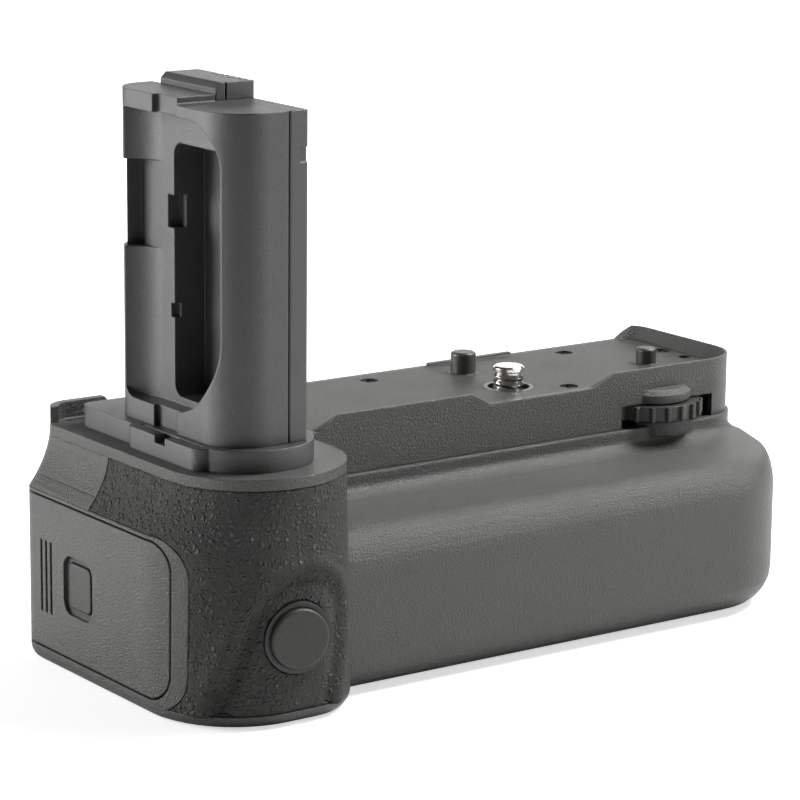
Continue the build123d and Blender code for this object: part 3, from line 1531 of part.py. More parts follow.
skin_piece = make_skin()
pieces = {
    "base_shell": make_base_shell(skin_piece),
    "bottom_plate": make_bottom_plate(),
    "top_frame": make_top_frame(skin_piece),
    "top_plate": make_top_plate(),
    "grip_skin": skin_piece,
    "grip_collar": make_collar(),
    "door_frame": make_bezel(),
    "end_cap": make_end_cap(),
    "release_button": make_button(),
    "latch_bolt": block(
        bolt_left, bolt_right, button_y - bolt_width / 2, button_y + bolt_width / 2, bolt_bottom, bolt_top,
    ),
    "latch_spring": make_spring(),
    "tray_frame": make_tray(),
    "tray_contacts": make_tray_contacts(),
    "cap_screws": make_cap_screws(),
    "battery_bay": make_sleeve(),
    "bay_contacts": make_bay_contacts(),
    "shutter_ring": make_shutter_ring(),
    "shutter_button": make_shutter_button(),
    "shutter_switch": make_switch(),
    "shutter_board": shutter_rod(
        switch_board_radius, shutter_board_front, shutter_board_front + switch_board_thickness,
    ),
    "thumbwheel": make_wheel(),
    "wheel_pinion": make_pinion(),
    "wheel_axle": rod(wheel_axle_radius, wheel_x, -wheel_y, chassis_bottom, -plate_thickness),
    "idler_gear": gear(
        idler_teeth, idler_x, idler_y, idler_phase, gear_bottom, -gear_top_drop,
        idler_bore_axle + running_clearance,
    ),
    "idler_axle": make_idler_axle(),
    "screw_gear": gear(screw_gear_teeth, 0, 0, to_idler, gear_bottom, -gear_top_drop, neck_radius),
    "camera_screw": make_screw(),
    "screw_collar": make_bush(),
    "chassis_plate": make_chassis(),
    "chassis_screws": make_chassis_screws(),
    "plate_screws": make_plate_screws(),
    "long_pin": make_pin(*long_pin_place, long_pin_height),
    "short_pin": make_pin(*short_pin_place, short_pin_height),
    "casing_screws": make_casing_screws(),
    "tripod_socket": make_socket(),
    "main_board": make_board(),
    "board_chips": make_chips(),
    "ribbon_lead": make_ribbon(),
    "tower_base": make_platform(),
    "tower_shell": make_tower_shell(),
    "tower_cover": make_tower_cover(),
    "tower_board": make_tower_board(),
    "tower_screws": make_tower_screws(),
    "platform_screws": make_platform_screws(),
    "contact_block": make_contact_block(),
    "contact_blades": make_blades(),
}

# Move everything so that the origin is the middle of the bottom
shift = Pos((reach_left - reach_right) / 2, -(foremost + back) / 2, deck_height)
os.makedirs("parts", exist_ok=True)
for name, piece in pieces.items():
    export_step(shift * piece, f"parts/{name}.step")
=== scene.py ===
import math

import bmesh
import bpy
from bpy.props import (
    FloatProperty,
    FloatVectorProperty,
    IntProperty,
    PointerProperty,
)
from mathutils import Matrix, Vector


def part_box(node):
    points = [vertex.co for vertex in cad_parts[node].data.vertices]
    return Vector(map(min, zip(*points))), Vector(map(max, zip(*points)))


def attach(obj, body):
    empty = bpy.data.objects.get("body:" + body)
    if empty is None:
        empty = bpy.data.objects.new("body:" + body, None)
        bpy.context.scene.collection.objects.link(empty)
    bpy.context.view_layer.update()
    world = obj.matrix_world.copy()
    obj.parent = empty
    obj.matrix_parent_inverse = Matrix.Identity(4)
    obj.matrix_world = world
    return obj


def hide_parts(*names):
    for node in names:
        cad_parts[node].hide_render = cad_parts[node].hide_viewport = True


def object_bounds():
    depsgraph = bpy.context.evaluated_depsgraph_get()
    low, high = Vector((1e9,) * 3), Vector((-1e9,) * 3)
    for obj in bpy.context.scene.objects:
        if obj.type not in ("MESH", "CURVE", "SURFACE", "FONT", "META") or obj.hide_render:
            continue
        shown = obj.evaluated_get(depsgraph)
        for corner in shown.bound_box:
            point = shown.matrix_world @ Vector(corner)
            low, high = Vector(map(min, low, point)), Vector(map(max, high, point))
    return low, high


bl_info = {
    "name": "Battery Grip Looks",
    "version": (1, 0, 0),
    "blender": (4, 5, 0),
    "location": "View3D > Sidebar > Grip",
    "description": "Dresses the battery grip with moulded plastic, pebbled skin and bright metal",
    "category": "Object",
}

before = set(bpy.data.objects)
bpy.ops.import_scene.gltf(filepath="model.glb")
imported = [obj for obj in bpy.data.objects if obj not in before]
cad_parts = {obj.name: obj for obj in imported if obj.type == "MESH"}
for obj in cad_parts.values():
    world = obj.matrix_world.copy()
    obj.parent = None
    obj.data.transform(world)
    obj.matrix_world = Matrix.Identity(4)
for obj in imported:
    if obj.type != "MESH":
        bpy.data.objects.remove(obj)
cad_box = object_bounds()
MM = 0.001


class GripView(bpy.types.PropertyGroup):
    """Where the camera stands, in the grip's own frame"""

    place: FloatVectorProperty(
        name="Place", description="Camera's place", subtype="TRANSLATION", unit="LENGTH",
        default=(-0.3411, -0.4625, 0.1743),
    )
    azimuth: FloatProperty(
        name="Azimuth", description="Turn round the vertical", subtype="ANGLE",
        default=math.radians(-35.63),
    )
    elevation: FloatProperty(
        name="Elevation", description="Height above the horizon", subtype="ANGLE",
        default=math.radians(12.81),
    )
    roll: FloatProperty(
        name="Roll", description="Tilt of the horizon", subtype="ANGLE", default=math.radians(0.594),
    )
    lens: FloatProperty(
        name="Lens", description="Focal length", subtype="DISTANCE_CAMERA", default=147.6,
    )


class GripLights(bpy.types.PropertyGroup):
    """Strengths of the studio's soft lights"""

    top: FloatProperty(name="Top", description="Wide light over the deck", default=7.0, min=0)
    left: FloatProperty(
        name="Left", description="Soft light beside the end cap", default=4.8, min=0,
    )
    right: FloatProperty(name="Right", description="Light before the wheel", default=1.5, min=0)
    back: FloatProperty(name="Back", description="Light behind the deck", default=1.0, min=0)
    world: FloatProperty(
        name="World", description="Plain light from all round", default=0.07, min=0,
    )
    floor: FloatVectorProperty(
        name="Floor", description="Colour of the floor", subtype="COLOR",
        default=(0.86, 0.86, 0.86), min=0, max=1,
    )


class GripColours(bpy.types.PropertyGroup):
    """Colours of the grip's finishes"""

    body: FloatVectorProperty(
        name="Body", description="Grained moulding", subtype="COLOR",
        default=(0.050, 0.050, 0.0455), min=0, max=1,
    )
    deck: FloatVectorProperty(
        name="Deck", description="Grained deck plate", subtype="COLOR",
        default=(0.044, 0.044, 0.040), min=0, max=1,
    )
    tower: FloatVectorProperty(
        name="Tower", description="Smooth moulding of the tower", subtype="COLOR",
        default=(0.044, 0.045, 0.043), min=0, max=1,
    )
    skin: FloatVectorProperty(
        name="Skin", description="Pebbled skin", subtype="COLOR",
        default=(0.050, 0.050, 0.046), min=0, max=1,
    )
    button: FloatVectorProperty(
        name="Button", description="Smooth buttons", subtype="COLOR",
        default=(0.040, 0.040, 0.037), min=0, max=1,
    )
    black: FloatVectorProperty(
        name="Black", description="Wheel and pins", subtype="COLOR",
        default=(0.052, 0.052, 0.049), min=0, max=1,
    )
    nickel: FloatVectorProperty(
        name="Nickel", description="Camera screw", subtype="COLOR",
        default=(0.80, 0.78, 0.73), min=0, max=1,
    )
    collar: FloatVectorProperty(
        name="Collar", description="Bush round the screw", subtype="COLOR",
        default=(0.16, 0.155, 0.145), min=0, max=1,
    )
    contact: FloatVectorProperty(
        name="Contact", description="Gold plated contacts", subtype="COLOR",
        default=(0.80, 0.60, 0.28), min=0, max=1,
    )
    board: FloatVectorProperty(
        name="Board", description="Circuit boards", subtype="COLOR", default=(0.02, 0.11, 0.05), min=0, max=1,
    )
    film: FloatVectorProperty(
        name="Film", description="Flat lead", subtype="COLOR", default=(0.40, 0.20, 0.05), min=0, max=1,
    )


class GripGrain(bpy.types.PropertyGroup):
    """Sizes of the surface patterns"""

    grain: FloatProperty(
        name="Grain", description="Size of the moulding's grain", unit="LENGTH", default=0.00030,
    )
    grain_depth: FloatProperty(
        name="Grain depth", description="Height of the grain", unit="LENGTH", default=0.00012,
    )
    pebble: FloatProperty(
        name="Pebble", description="Size of the skin's pebbles", unit="LENGTH", default=0.0010,
    )
    pebble_depth: FloatProperty(
        name="Pebble depth", description="Depth of the creases between pebbles", unit="LENGTH",
        default=0.0007,
    )
    edge: FloatProperty(
        name="Edge", description="Softness of moulded edges", unit="LENGTH", default=0.0004,
    )
    lip: FloatProperty(
        name="Lip", description="Softness of the lower housing's edges", unit="LENGTH", default=0.0009,
    )
    valley: FloatProperty(
        name="Valley", description="Depth of the arch's valley", unit="LENGTH", default=0.0007,
    )
    ridge: FloatProperty(
        name="Ridge", description="Height of the ridge outside the arch", unit="LENGTH", default=0.0005,
    )
    facet: FloatProperty(
        name="Facet", description="Depth of the facet under the arch", unit="LENGTH", default=0.0002,
    )
    valley_width: FloatProperty(
        name="Valley width", description="Half width of the arch's valley", unit="LENGTH",
        default=0.0012,
    )
    voxel: FloatProperty(
        name="Voxel", description="Cell of the skin's mesh", unit="LENGTH", default=0.0003,
    )


class GripThread(bpy.types.PropertyGroup):
    """Sizes of the camera screw"""

    pitch: FloatProperty(
        name="Pitch", description="Rise of one turn", unit="LENGTH", default=0.00127,
    )
    depth: FloatProperty(
        name="Depth", description="Depth of the thread", unit="LENGTH", default=0.0006,
    )
    radius: FloatProperty(
        name="Radius", description="Outside of the thread", unit="LENGTH", default=0.00312,
    )
    start: FloatProperty(
        name="Start", description="Lowest turn, from the deck", unit="LENGTH", default=-0.0010,
    )
    turns: IntProperty(name="Turns", description="Turns of the thread", default=3, min=1)


# Soft lights: name, the property with the power, place, width and height
LIGHTS = (
    ("Top light", "top", (0.39, -0.08, 0.56), 0.26, 0.26),
    ("Left light", "left", (-0.53, 0.36, 0.18), 0.40, 0.45),
    ("Right light", "right", (0.56, -0.46, 0.18), 0.30, 0.40),
    ("Back light", "back", (0.40, 0.60, 0.22), 0.80, 0.30),
)
AIM_HEIGHT = 0.04

# Floor: half its width, and the brightness seen near the grip and far from it
FLOOR_REACH = 3.0
FLOOR_NEAR, FLOOR_FAR = 0.18, 0.45
FLOOR_DIM, FLOOR_BRIGHT = 0.60, 1.0


def link(obj):
    """Puts an object into the scene."""
    bpy.context.scene.collection.objects.link(obj)
    return obj


def node_copy(node, name):
    """Merged copy of a CAD node's mesh as a new object."""
    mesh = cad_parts[node].data.copy()
    shape = bmesh.new()
    shape.from_mesh(mesh)
    bmesh.ops.remove_doubles(shape, verts=shape.verts, dist=1e-7)
    shape.to_mesh(mesh)
    shape.free()
    mesh.name = name
    return link(bpy.data.objects.new(name, mesh))


def applied(obj, name):
    """Plain mesh object in place of one with modifiers."""
    depsgraph = bpy.context.evaluated_depsgraph_get()
    mesh = bpy.data.meshes.new_from_object(obj.evaluated_get(depsgraph), depsgraph=depsgraph)
    mesh.name = name
    plain = link(bpy.data.objects.new(name, mesh))
    old = obj.data
    bpy.data.objects.remove(obj)
    if old.users == 0:
        bpy.data.meshes.remove(old)
    return plain


def smooth(obj, angle=35):
    """Smooth shading with sharp edges kept."""
    for polygon in obj.data.polygons:
        polygon.use_smooth = True
    obj.data.set_sharp_from_angle(angle=math.radians(angle))


def socket(tree, name, kind, default=None, outwards=False):
    """Adds a named socket to a node group."""
    way = "OUTPUT" if outwards else "INPUT"
    made = tree.interface.new_socket(name=name, in_out=way, socket_type=kind)
    if default is not None:
        made.default_value = default
    return made


def node(tree, kind, **values):
    """Adds a node with attributes set."""
    made = tree.nodes.new(kind)
    for key, value in values.items():
        setattr(made, key, value)
    return made


def maths(tree, operation, first, second=None, clamp=False):
    """Math node whose inputs are sockets or numbers."""
    made = node(tree, "ShaderNodeMath", operation=operation, use_clamp=clamp)
    for index, value in enumerate((first, second)):
        if value is None:
            continue
        if isinstance(value, (int, float)):
            made.inputs[index].default_value = value
        else:
            tree.links.new(value, made.inputs[index])
    return made.outputs[0]


def remap(tree, value, low, high, to_low=0.0, to_high=1.0):
    """Smooth map of a value from one range to another."""
    made = node(tree, "ShaderNodeMapRange", interpolation_type="SMOOTHSTEP")
    tree.links.new(value, made.inputs["Value"])
    for key, number in (("From Min", low), ("From Max", high), ("To Min", to_low), ("To Max", to_high)):
        made.inputs[key].default_value = number
    return made.outputs["Result"]


# Grain: the part of the noise that shows, and the clouds in the gloss
GRAIN_LOW, GRAIN_HIGH = 0.28, 0.74
CLOUD_SCALE = 90.0


def grain_group():
    """Fine moulded grain: a normal with soft edges and a mask of the grain's tops, which paints highlight and
    shade into the colour.
    """
    name = "Moulded grain"
    if name in bpy.data.node_groups:
        return bpy.data.node_groups[name]
    tree = bpy.data.node_groups.new(name, "ShaderNodeTree")
    socket(tree, "Vector", "NodeSocketVector")
    socket(tree, "Size", "NodeSocketFloat", 0.0004)
    socket(tree, "Depth", "NodeSocketFloat", 0.00005)
    socket(tree, "Edge", "NodeSocketFloat", 0.0003)
    socket(tree, "Normal", "NodeSocketVector", outwards=True)
    socket(tree, "Mask", "NodeSocketFloat", outwards=True)
    socket(tree, "Cloud", "NodeSocketFloat", outwards=True)
    into = tree.nodes.new("NodeGroupInput")
    out = tree.nodes.new("NodeGroupOutput")
    scale = maths(tree, "DIVIDE", 1.0, into.outputs["Size"])
    fine = node(tree, "ShaderNodeTexNoise", noise_dimensions="3D")
    fine.inputs["Detail"].default_value = 2.0
    fine.inputs["Roughness"].default_value = 0.6
    cloud = node(tree, "ShaderNodeTexNoise", noise_dimensions="3D")
    cloud.inputs["Scale"].default_value = CLOUD_SCALE
    cloud.inputs["Detail"].default_value = 3.0
    tree.links.new(into.outputs["Vector"], fine.inputs["Vector"])
    tree.links.new(into.outputs["Vector"], cloud.inputs["Vector"])
    tree.links.new(scale, fine.inputs["Scale"])
    height = remap(tree, fine.outputs["Fac"], GRAIN_LOW, GRAIN_HIGH)
    bevel = node(tree, "ShaderNodeBevel", samples=6)
    tree.links.new(into.outputs["Edge"], bevel.inputs["Radius"])
    bump = node(tree, "ShaderNodeBump")
    tree.links.new(height, bump.inputs["Height"])
    tree.links.new(into.outputs["Depth"], bump.inputs["Distance"])
    tree.links.new(bevel.outputs["Normal"], bump.inputs["Normal"])
    tree.links.new(bump.outputs["Normal"], out.inputs["Normal"])
    tree.links.new(height, out.inputs["Mask"])
    tree.links.new(cloud.outputs["Fac"], out.inputs["Cloud"])
    return tree


# Pebbles: each layer's scale and the distances between which its creases rise, and what shapes them
CREASES = ((1.0, 0.0, 0.50), (2.1, 0.0, 0.40))
WARP_SCALE, WARP_SHARE = 0.8, 1.5
GATE_LOW, GATE_HIGH, SMALL_SHARE = 0.42, 0.60, 0.55
WRINKLE_SCALE, WRINKLE_SHARE = 5.0, 0.35


def pebble_group():
    """Pebbled skin: cells with creases between them and finer wrinkles on top."""
    name = "Pebbled skin"
    if name in bpy.data.node_groups:
        return bpy.data.node_groups[name]
    tree = bpy.data.node_groups.new(name, "ShaderNodeTree")
    socket(tree, "Vector", "NodeSocketVector")
    socket(tree, "Size", "NodeSocketFloat", 0.0017)
    socket(tree, "Depth", "NodeSocketFloat", 0.0002)
    socket(tree, "Normal", "NodeSocketVector", outwards=True)
    socket(tree, "Mask", "NodeSocketFloat", outwards=True)
    into = tree.nodes.new("NodeGroupInput")
    out = tree.nodes.new("NodeGroupOutput")
    scale = maths(tree, "DIVIDE", 1.0, into.outputs["Size"])
    warp = node(tree, "ShaderNodeTexNoise", noise_dimensions="3D")
    warp.inputs["Detail"].default_value = 2.0
    tree.links.new(into.outputs["Vector"], warp.inputs["Vector"])
    tree.links.new(maths(tree, "MULTIPLY", scale, WARP_SCALE), warp.inputs["Scale"])
    offset = node(tree, "ShaderNodeVectorMath", operation="SUBTRACT")
    offset.inputs[1].default_value = (0.5, 0.5, 0.5)
    tree.links.new(warp.outputs["Color"], offset.inputs[0])
    push = node(tree, "ShaderNodeVectorMath", operation="SCALE")
    tree.links.new(offset.outputs[0], push.inputs[0])
    tree.links.new(maths(tree, "MULTIPLY", into.outputs["Size"], WARP_SHARE), push.inputs["Scale"])
    moved = node(tree, "ShaderNodeVectorMath", operation="ADD")
    tree.links.new(into.outputs["Vector"], moved.inputs[0])
    tree.links.new(push.outputs[0], moved.inputs[1])
    heights = []
    for factor, low, high in CREASES:
        cells = node(tree, "ShaderNodeTexVoronoi", feature="DISTANCE_TO_EDGE", voronoi_dimensions="3D")
        tree.links.new(moved.outputs[0], cells.inputs["Vector"])
        tree.links.new(maths(tree, "MULTIPLY", scale, factor), cells.inputs["Scale"])
        heights.append(remap(tree, cells.outputs["Distance"], low, high))
    gate = remap(tree, warp.outputs["Fac"], GATE_LOW, GATE_HIGH)
    small = maths(tree, "MULTIPLY", maths(tree, "SUBTRACT", 1.0, heights[1]), gate)
    height = maths(tree, "SUBTRACT", heights[0], maths(tree, "MULTIPLY", small, SMALL_SHARE), clamp=True)
    fine = node(tree, "ShaderNodeTexNoise", noise_dimensions="3D")
    fine.inputs["Detail"].default_value = 3.0
    tree.links.new(into.outputs["Vector"], fine.inputs["Vector"])
    tree.links.new(maths(tree, "MULTIPLY", scale, WRINKLE_SCALE), fine.inputs["Scale"])
    full = maths(tree, "ADD", height, maths(tree, "MULTIPLY", fine.outputs["Fac"], WRINKLE_SHARE))
    bump = node(tree, "ShaderNodeBump")
    tree.links.new(full, bump.inputs["Height"])
    tree.links.new(into.outputs["Depth"], bump.inputs["Distance"])
    tree.links.new(bump.outputs["Normal"], out.inputs["Normal"])
    tree.links.new(height, out.inputs["Mask"])
    return tree


def painted_light_colour(tree, mask, low, high):
    """Colour between two by a mask, painting shade into the low end and, for the grain, a highlight into the
    high end.
    """
    mix = node(tree, "ShaderNodeMix", data_type="RGBA")
    tree.links.new(mask, mix.inputs["Factor"])
    mix.inputs[6].default_value = (*low, 1)
    mix.inputs[7].default_value = (*high, 1)
    return mix.outputs[2]


def new_material(name):
    """Empty material with its Principled shader and output."""
    material = bpy.data.materials.new(name)
    material.use_nodes = True
    return material, material.node_tree, material.node_tree.nodes["Principled BSDF"]


# Finishes: roughness, shares of the grain's size and depth, softness of edges and its share, metallic and
# specular level
FINISHES = {
    "Grained moulding": (0.35, 1.0, 1.0, "edge", 1.0, 0.0, 0.75),
    "Lower moulding": (0.35, 1.0, 1.0, "lip", 1.0, 0.0, 0.75),
    "Deck moulding": (0.42, 0.8, 0.7, "edge", 1.0, 0.0, 0.5),
    "Smooth moulding": (0.36, 0.6, 0.3, "edge", 1.0, 0.0, 0.9),
    "Gold contacts": (0.3, 1.0, 0.1, "edge", 1.0, 1.0, 0.5),
    "Button moulding": (0.45, 1.0, 0.3, "edge", 1.0, 0.0, 0.5),
    "Black moulding": (0.30, 1.0, 0.3, "edge", 0.7, 0.0, 0.5),
    "Tray moulding": (0.5, 1.0, 0.6, "edge", 1.0, 0.0, 0.5),
    "Blackened steel": (0.4, 1.0, 0.2, "edge", 1.0, 1.0, 0.5),
    "Sheet steel": (0.32, 1.0, 0.1, "edge", 1.0, 1.0, 0.5),
    "Dark bush": (0.3, 1.0, 0.1, "edge", 0.5, 1.0, 0.5),
    "Board resist": (0.3, 1.0, 0.1, "edge", 1.0, 0.0, 0.5),
    "Lead film": (0.3, 1.0, 0.1, "edge", 1.0, 0.0, 0.5),
    "Bright nickel": (0.16, 1.0, 0.08, "edge", 0.3, 1.0, 0.5),
}
# Shares of the colour in the grain's hollows and on its tops: painted shade and painted highlight
PAINTED_SHADE_SHARE, PAINTED_HIGHLIGHT_SHARE = 0.8, 1.16
BLACKENED_SHARE = 0.6
ROUGH_SPREAD = 0.14


def moulded(name, colour):
    """Grained moulding or metal with soft edges, from the table of finishes; its colour carries painted shade
    in the grain's hollows and a painted highlight on its tops.
    """
    sizes = bpy.context.scene.grip_grain
    rough, size_share, depth_share, softness, edge_share, metallic, specular = FINISHES[name]
    size, depth = sizes.grain * size_share, sizes.grain_depth * depth_share
    edge = getattr(sizes, softness) * edge_share
    material, tree, shader = new_material(name)
    place = node(tree, "ShaderNodeTexCoord")
    grain = node(tree, "ShaderNodeGroup")
    grain.node_tree = grain_group()
    for key, value in (("Size", size), ("Depth", depth), ("Edge", edge)):
        grain.inputs[key].default_value = value
    tree.links.new(place.outputs["Object"], grain.inputs["Vector"])
    # Painted shade in the grain's hollows and painted highlight on its tops, set by the grain's height
    low = [part * PAINTED_SHADE_SHARE for part in colour]
    high = [min(1, part * PAINTED_HIGHLIGHT_SHARE) for part in colour]
    tree.links.new(painted_light_colour(tree, grain.outputs["Mask"], low, high), shader.inputs["Base Color"])
    spread = maths(tree, "MULTIPLY", maths(tree, "SUBTRACT", grain.outputs["Cloud"], 0.5), ROUGH_SPREAD)
    tree.links.new(maths(tree, "ADD", spread, rough), shader.inputs["Roughness"])
    tree.links.new(grain.outputs["Normal"], shader.inputs["Normal"])
    shader.inputs["Metallic"].default_value = metallic
    shader.inputs["Specular IOR Level"].default_value = specular
    return material


# Skin: share of the colour in the creases, which is painted shade, and the roughness there and on the pebbles
PAINTED_CREASE_SHADE = 0.62
CREASE_ROUGH, PEBBLE_ROUGH = 0.70, 0.38


def pebbled(name, colour, size, depth):
    """Pebbled rubber skin, with painted shade in its creases."""
    material, tree, shader = new_material(name)
    place = node(tree, "ShaderNodeTexCoord")
    skin = node(tree, "ShaderNodeGroup")
    skin.node_tree = pebble_group()
    skin.inputs["Size"].default_value = size
    skin.inputs["Depth"].default_value = depth
    tree.links.new(place.outputs["Object"], skin.inputs["Vector"])
    # Painted shade: the creases darker than the pebbles
    low = [part * PAINTED_CREASE_SHADE for part in colour]
    tree.links.new(painted_light_colour(tree, skin.outputs["Mask"], low, colour), shader.inputs["Base Color"])
    rough = remap(tree, skin.outputs["Mask"], 0.0, 1.0, CREASE_ROUGH, PEBBLE_ROUGH)
    tree.links.new(rough, shader.inputs["Roughness"])
    tree.links.new(skin.outputs["Normal"], shader.inputs["Normal"])
    return material


def finish_nodes(material, *names):
    """Gives a material to CAD nodes."""
    for name in names:
        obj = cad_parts[name]
        obj.data.materials.clear()
        obj.data.materials.append(material)
        smooth(obj)


class GRIP_OT_stage(bpy.types.Operator):
    """Makes the pale floor, the soft studio lights and the camera"""

    bl_idname = "grip.stage"
    bl_label = "Stage"

    def execute(self, context):
        scene = context.scene
        lights = scene.grip_lights
        scene.view_settings.view_transform = "Standard"
        make_world(lights.world)
        make_floor(tuple(lights.floor))
        middle = Vector(((cad_box[0][0] + cad_box[1][0]) / 2, 0, AIM_HEIGHT))
        for name, key, place, width, height in LIGHTS:
            area_light(name, place, middle, width, height, getattr(lights, key))
        make_camera(scene.grip_view)
        return {"FINISHED"}


def make_world(strength):
    """White background for the camera, plain light for everything else."""
    world = bpy.data.worlds.new("Studio")
    bpy.context.scene.world = world
    world.use_nodes = True
    tree = world.node_tree
    plain = tree.nodes["Background"]
    plain.inputs["Color"].default_value = (1, 1, 1, 1)
    plain.inputs["Strength"].default_value = strength
    seen = node(tree, "ShaderNodeBackground")
    seen.inputs["Color"].default_value = (1, 1, 1, 1)
    path = node(tree, "ShaderNodeLightPath")
    mix = node(tree, "ShaderNodeMixShader")
    tree.links.new(path.outputs["Is Camera Ray"], mix.inputs["Fac"])
    tree.links.new(plain.outputs[0], mix.inputs[1])
    tree.links.new(seen.outputs[0], mix.inputs[2])
    tree.links.new(mix.outputs[0], tree.nodes["World Output"].inputs["Surface"])


def make_floor(colour):
    """Wide pale floor that keeps the grip's shadow."""
    mesh = bpy.data.meshes.new("floor")
    reach = FLOOR_REACH
    corners = [(-reach, -reach, 0), (reach, -reach, 0), (reach, reach, 0), (-reach, reach, 0)]
    mesh.from_pydata(corners, [], [(0, 1, 2, 3)])
    floor = link(bpy.data.objects.new("floor", mesh))
    material, tree, shader = new_material("Floor paper")
    shader.inputs["Base Color"].default_value = (*colour, 1)
    shader.inputs["Roughness"].default_value = 0.9
    glow = node(tree, "ShaderNodeEmission")
    path = node(tree, "ShaderNodeLightPath")
    place = node(tree, "ShaderNodeTexCoord")
    away = node(tree, "ShaderNodeVectorMath", operation="LENGTH")
    tree.links.new(place.outputs["Object"], away.inputs[0])
    far = remap(tree, away.outputs["Value"], FLOOR_NEAR, FLOOR_FAR, FLOOR_DIM, FLOOR_BRIGHT)
    tree.links.new(maths(tree, "MULTIPLY", path.outputs["Is Camera Ray"], far), glow.inputs["Strength"])
    both = node(tree, "ShaderNodeAddShader")
    tree.links.new(shader.outputs[0], both.inputs[0])
    tree.links.new(glow.outputs[0], both.inputs[1])
    tree.links.new(both.outputs[0], tree.nodes["Material Output"].inputs["Surface"])
    mesh.materials.append(material)


def area_light(name, place, target, width, height, power):
    """Soft rectangular light that faces the grip."""
    data = bpy.data.lights.new(name, "AREA")
    data.shape = "RECTANGLE"
    data.size, data.size_y, data.energy = width, height, power
    obj = link(bpy.data.objects.new(name, data))
    obj.location = place
    obj.rotation_mode = "QUATERNION"
    obj.rotation_quaternion = (target - Vector(place)).to_track_quat("-Z", "Y")


def make_camera(view):
    """Camera at the photograph's viewing angle."""
    a, e, roll = view.azimuth, view.elevation, view.roll
    back = Vector((math.sin(a) * math.cos(e), -math.cos(a) * math.cos(e), math.sin(e)))
    level = Vector((math.cos(a), math.sin(a), 0))
    up = back.cross(level)
    right = level * math.cos(roll) + up * math.sin(roll)
    upright = up * math.cos(roll) - level * math.sin(roll)
    camera = link(bpy.data.objects.new("camera", bpy.data.cameras.new("camera")))
    camera.data.lens = view.lens
    camera.data.sensor_width = 36.0
    camera.data.clip_start, camera.data.clip_end = 0.01, 10.0
    turn = Matrix((right, upright, back)).transposed().to_4x4()
    camera.matrix_world = Matrix.Translation(view.place) @ turn
    bpy.context.scene.camera = camera


class GRIP_OT_housing(bpy.types.Operator):
    """Gives the housing and the deck their grained moulding"""

    bl_idname = "grip.housing"
    bl_label = "Housing"

    def execute(self, context):
        colours = context.scene.grip_colours
        body = moulded("Grained moulding", colours.body)
        finish_nodes(body, "top_frame", "grip_collar", "door_frame", "end_cap")
        finish_nodes(moulded("Lower moulding", colours.body), "base_shell", "bottom_plate")
        finish_nodes(moulded("Deck moulding", colours.deck), "top_plate")
        return {"FINISHED"}


class GRIP_OT_tower(bpy.types.Operator):
    """Gives the tower its smooth moulding"""

    bl_idname = "grip.tower"
    bl_label = "Tower"

    def execute(self, context):
        colours = context.scene.grip_colours
        tower = moulded("Smooth moulding", colours.tower)
        finish_nodes(tower, "tower_base", "tower_shell", "tower_cover", "contact_block")
        finish_nodes(moulded("Gold contacts", colours.contact), "contact_blades", "tray_contacts")
        return {"FINISHED"}


ARCH = (
    (-63.3, 0.0), (-63.3, 4.2), (-61.5, 9.8), (-60.1, 14.5), (-58.3, 18.7), (-56.4, 21.5), (-54.0, 23.6),
    (-51.1, 24.8), (-48.1, 25.1), (-45.2, 24.1), (-43.1, 22.3), (-41.8, 19.9), (-41.8, 16.4), (-42.2, 12.6),
    (-43.0, 9.0), (-43.9, 5.7), (-44.8, 2.9), (-45.2, 0.0),
)


def arch_distance(x, z):
    """Distance to the arch seen from the front, and whether the point is under it."""
    nearest = 1.0
    inside = False
    for (x0, z0), (x1, z1) in zip(ARCH, ARCH[1:] + ARCH[:1]):
        x0, z0, x1, z1 = x0 * MM, z0 * MM, x1 * MM, z1 * MM
        if (z0 > z) != (z1 > z) and x < x0 + (z - z0) * (x1 - x0) / (z1 - z0):
            inside = not inside
        if z0 == z1 == 0:
            continue
        dx, dz = x1 - x0, z1 - z0
        share = min(1, max(0, ((x - x0) * dx + (z - z0) * dz) / (dx * dx + dz * dz)))
        nearest = min(nearest, math.hypot(x - x0 - share * dx, z - z0 - share * dz))
    return nearest, inside


# Part of the skin that the arch may move: how far it must face the front, and its place
ARCH_FACING, ARCH_FRONT, ARCH_LEFT = -0.15, -0.012, -0.068


def press_arch(obj, valley, ridge, facet, width):
    """Presses the arch's valley and the facet under it into the skin and raises the ridge outside it."""
    mesh = obj.data
    normals = [vertex.normal.copy() for vertex in mesh.vertices]
    for vertex, normal in zip(mesh.vertices, normals):
        x, y, z = vertex.co
        if normal.y > ARCH_FACING or y > ARCH_FRONT or x < ARCH_LEFT:
            continue
        away, inside = arch_distance(x, z)
        depth = valley * math.exp(-(away / width) ** 2)
        if inside:
            depth += facet * min(1, away / width)
        else:
            depth -= ridge * math.exp(-((away - 2 * width) / (1.2 * width)) ** 2)
        vertex.co = vertex.co - normal * depth


class GRIP_OT_skin(bpy.types.Operator):
    """Makes the pebbled skin round the grip end"""

    bl_idname = "grip.skin"
    bl_label = "Skin"

    def execute(self, context):
        colours, grain = context.scene.grip_colours, context.scene.grip_grain
        skin = node_copy("grip_skin", "pebbled_skin")
        cells = skin.modifiers.new("cells", "REMESH")
        cells.mode = "VOXEL"
        cells.voxel_size = grain.voxel * 1
        soften = skin.modifiers.new("soften", "SMOOTH")
        soften.iterations = 3
        skin = applied(skin, "pebbled_skin")
        press_arch(skin, grain.valley, grain.ridge, grain.facet, grain.valley_width)
        skin.data.materials.clear()
        skin.data.materials.append(pebbled("Pebbled rubber", colours.skin, grain.pebble, grain.pebble_depth))
        for polygon in skin.data.polygons:
            polygon.use_smooth = True
        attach(skin, "housing")
        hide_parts("grip_skin")
        return {"FINISHED"}


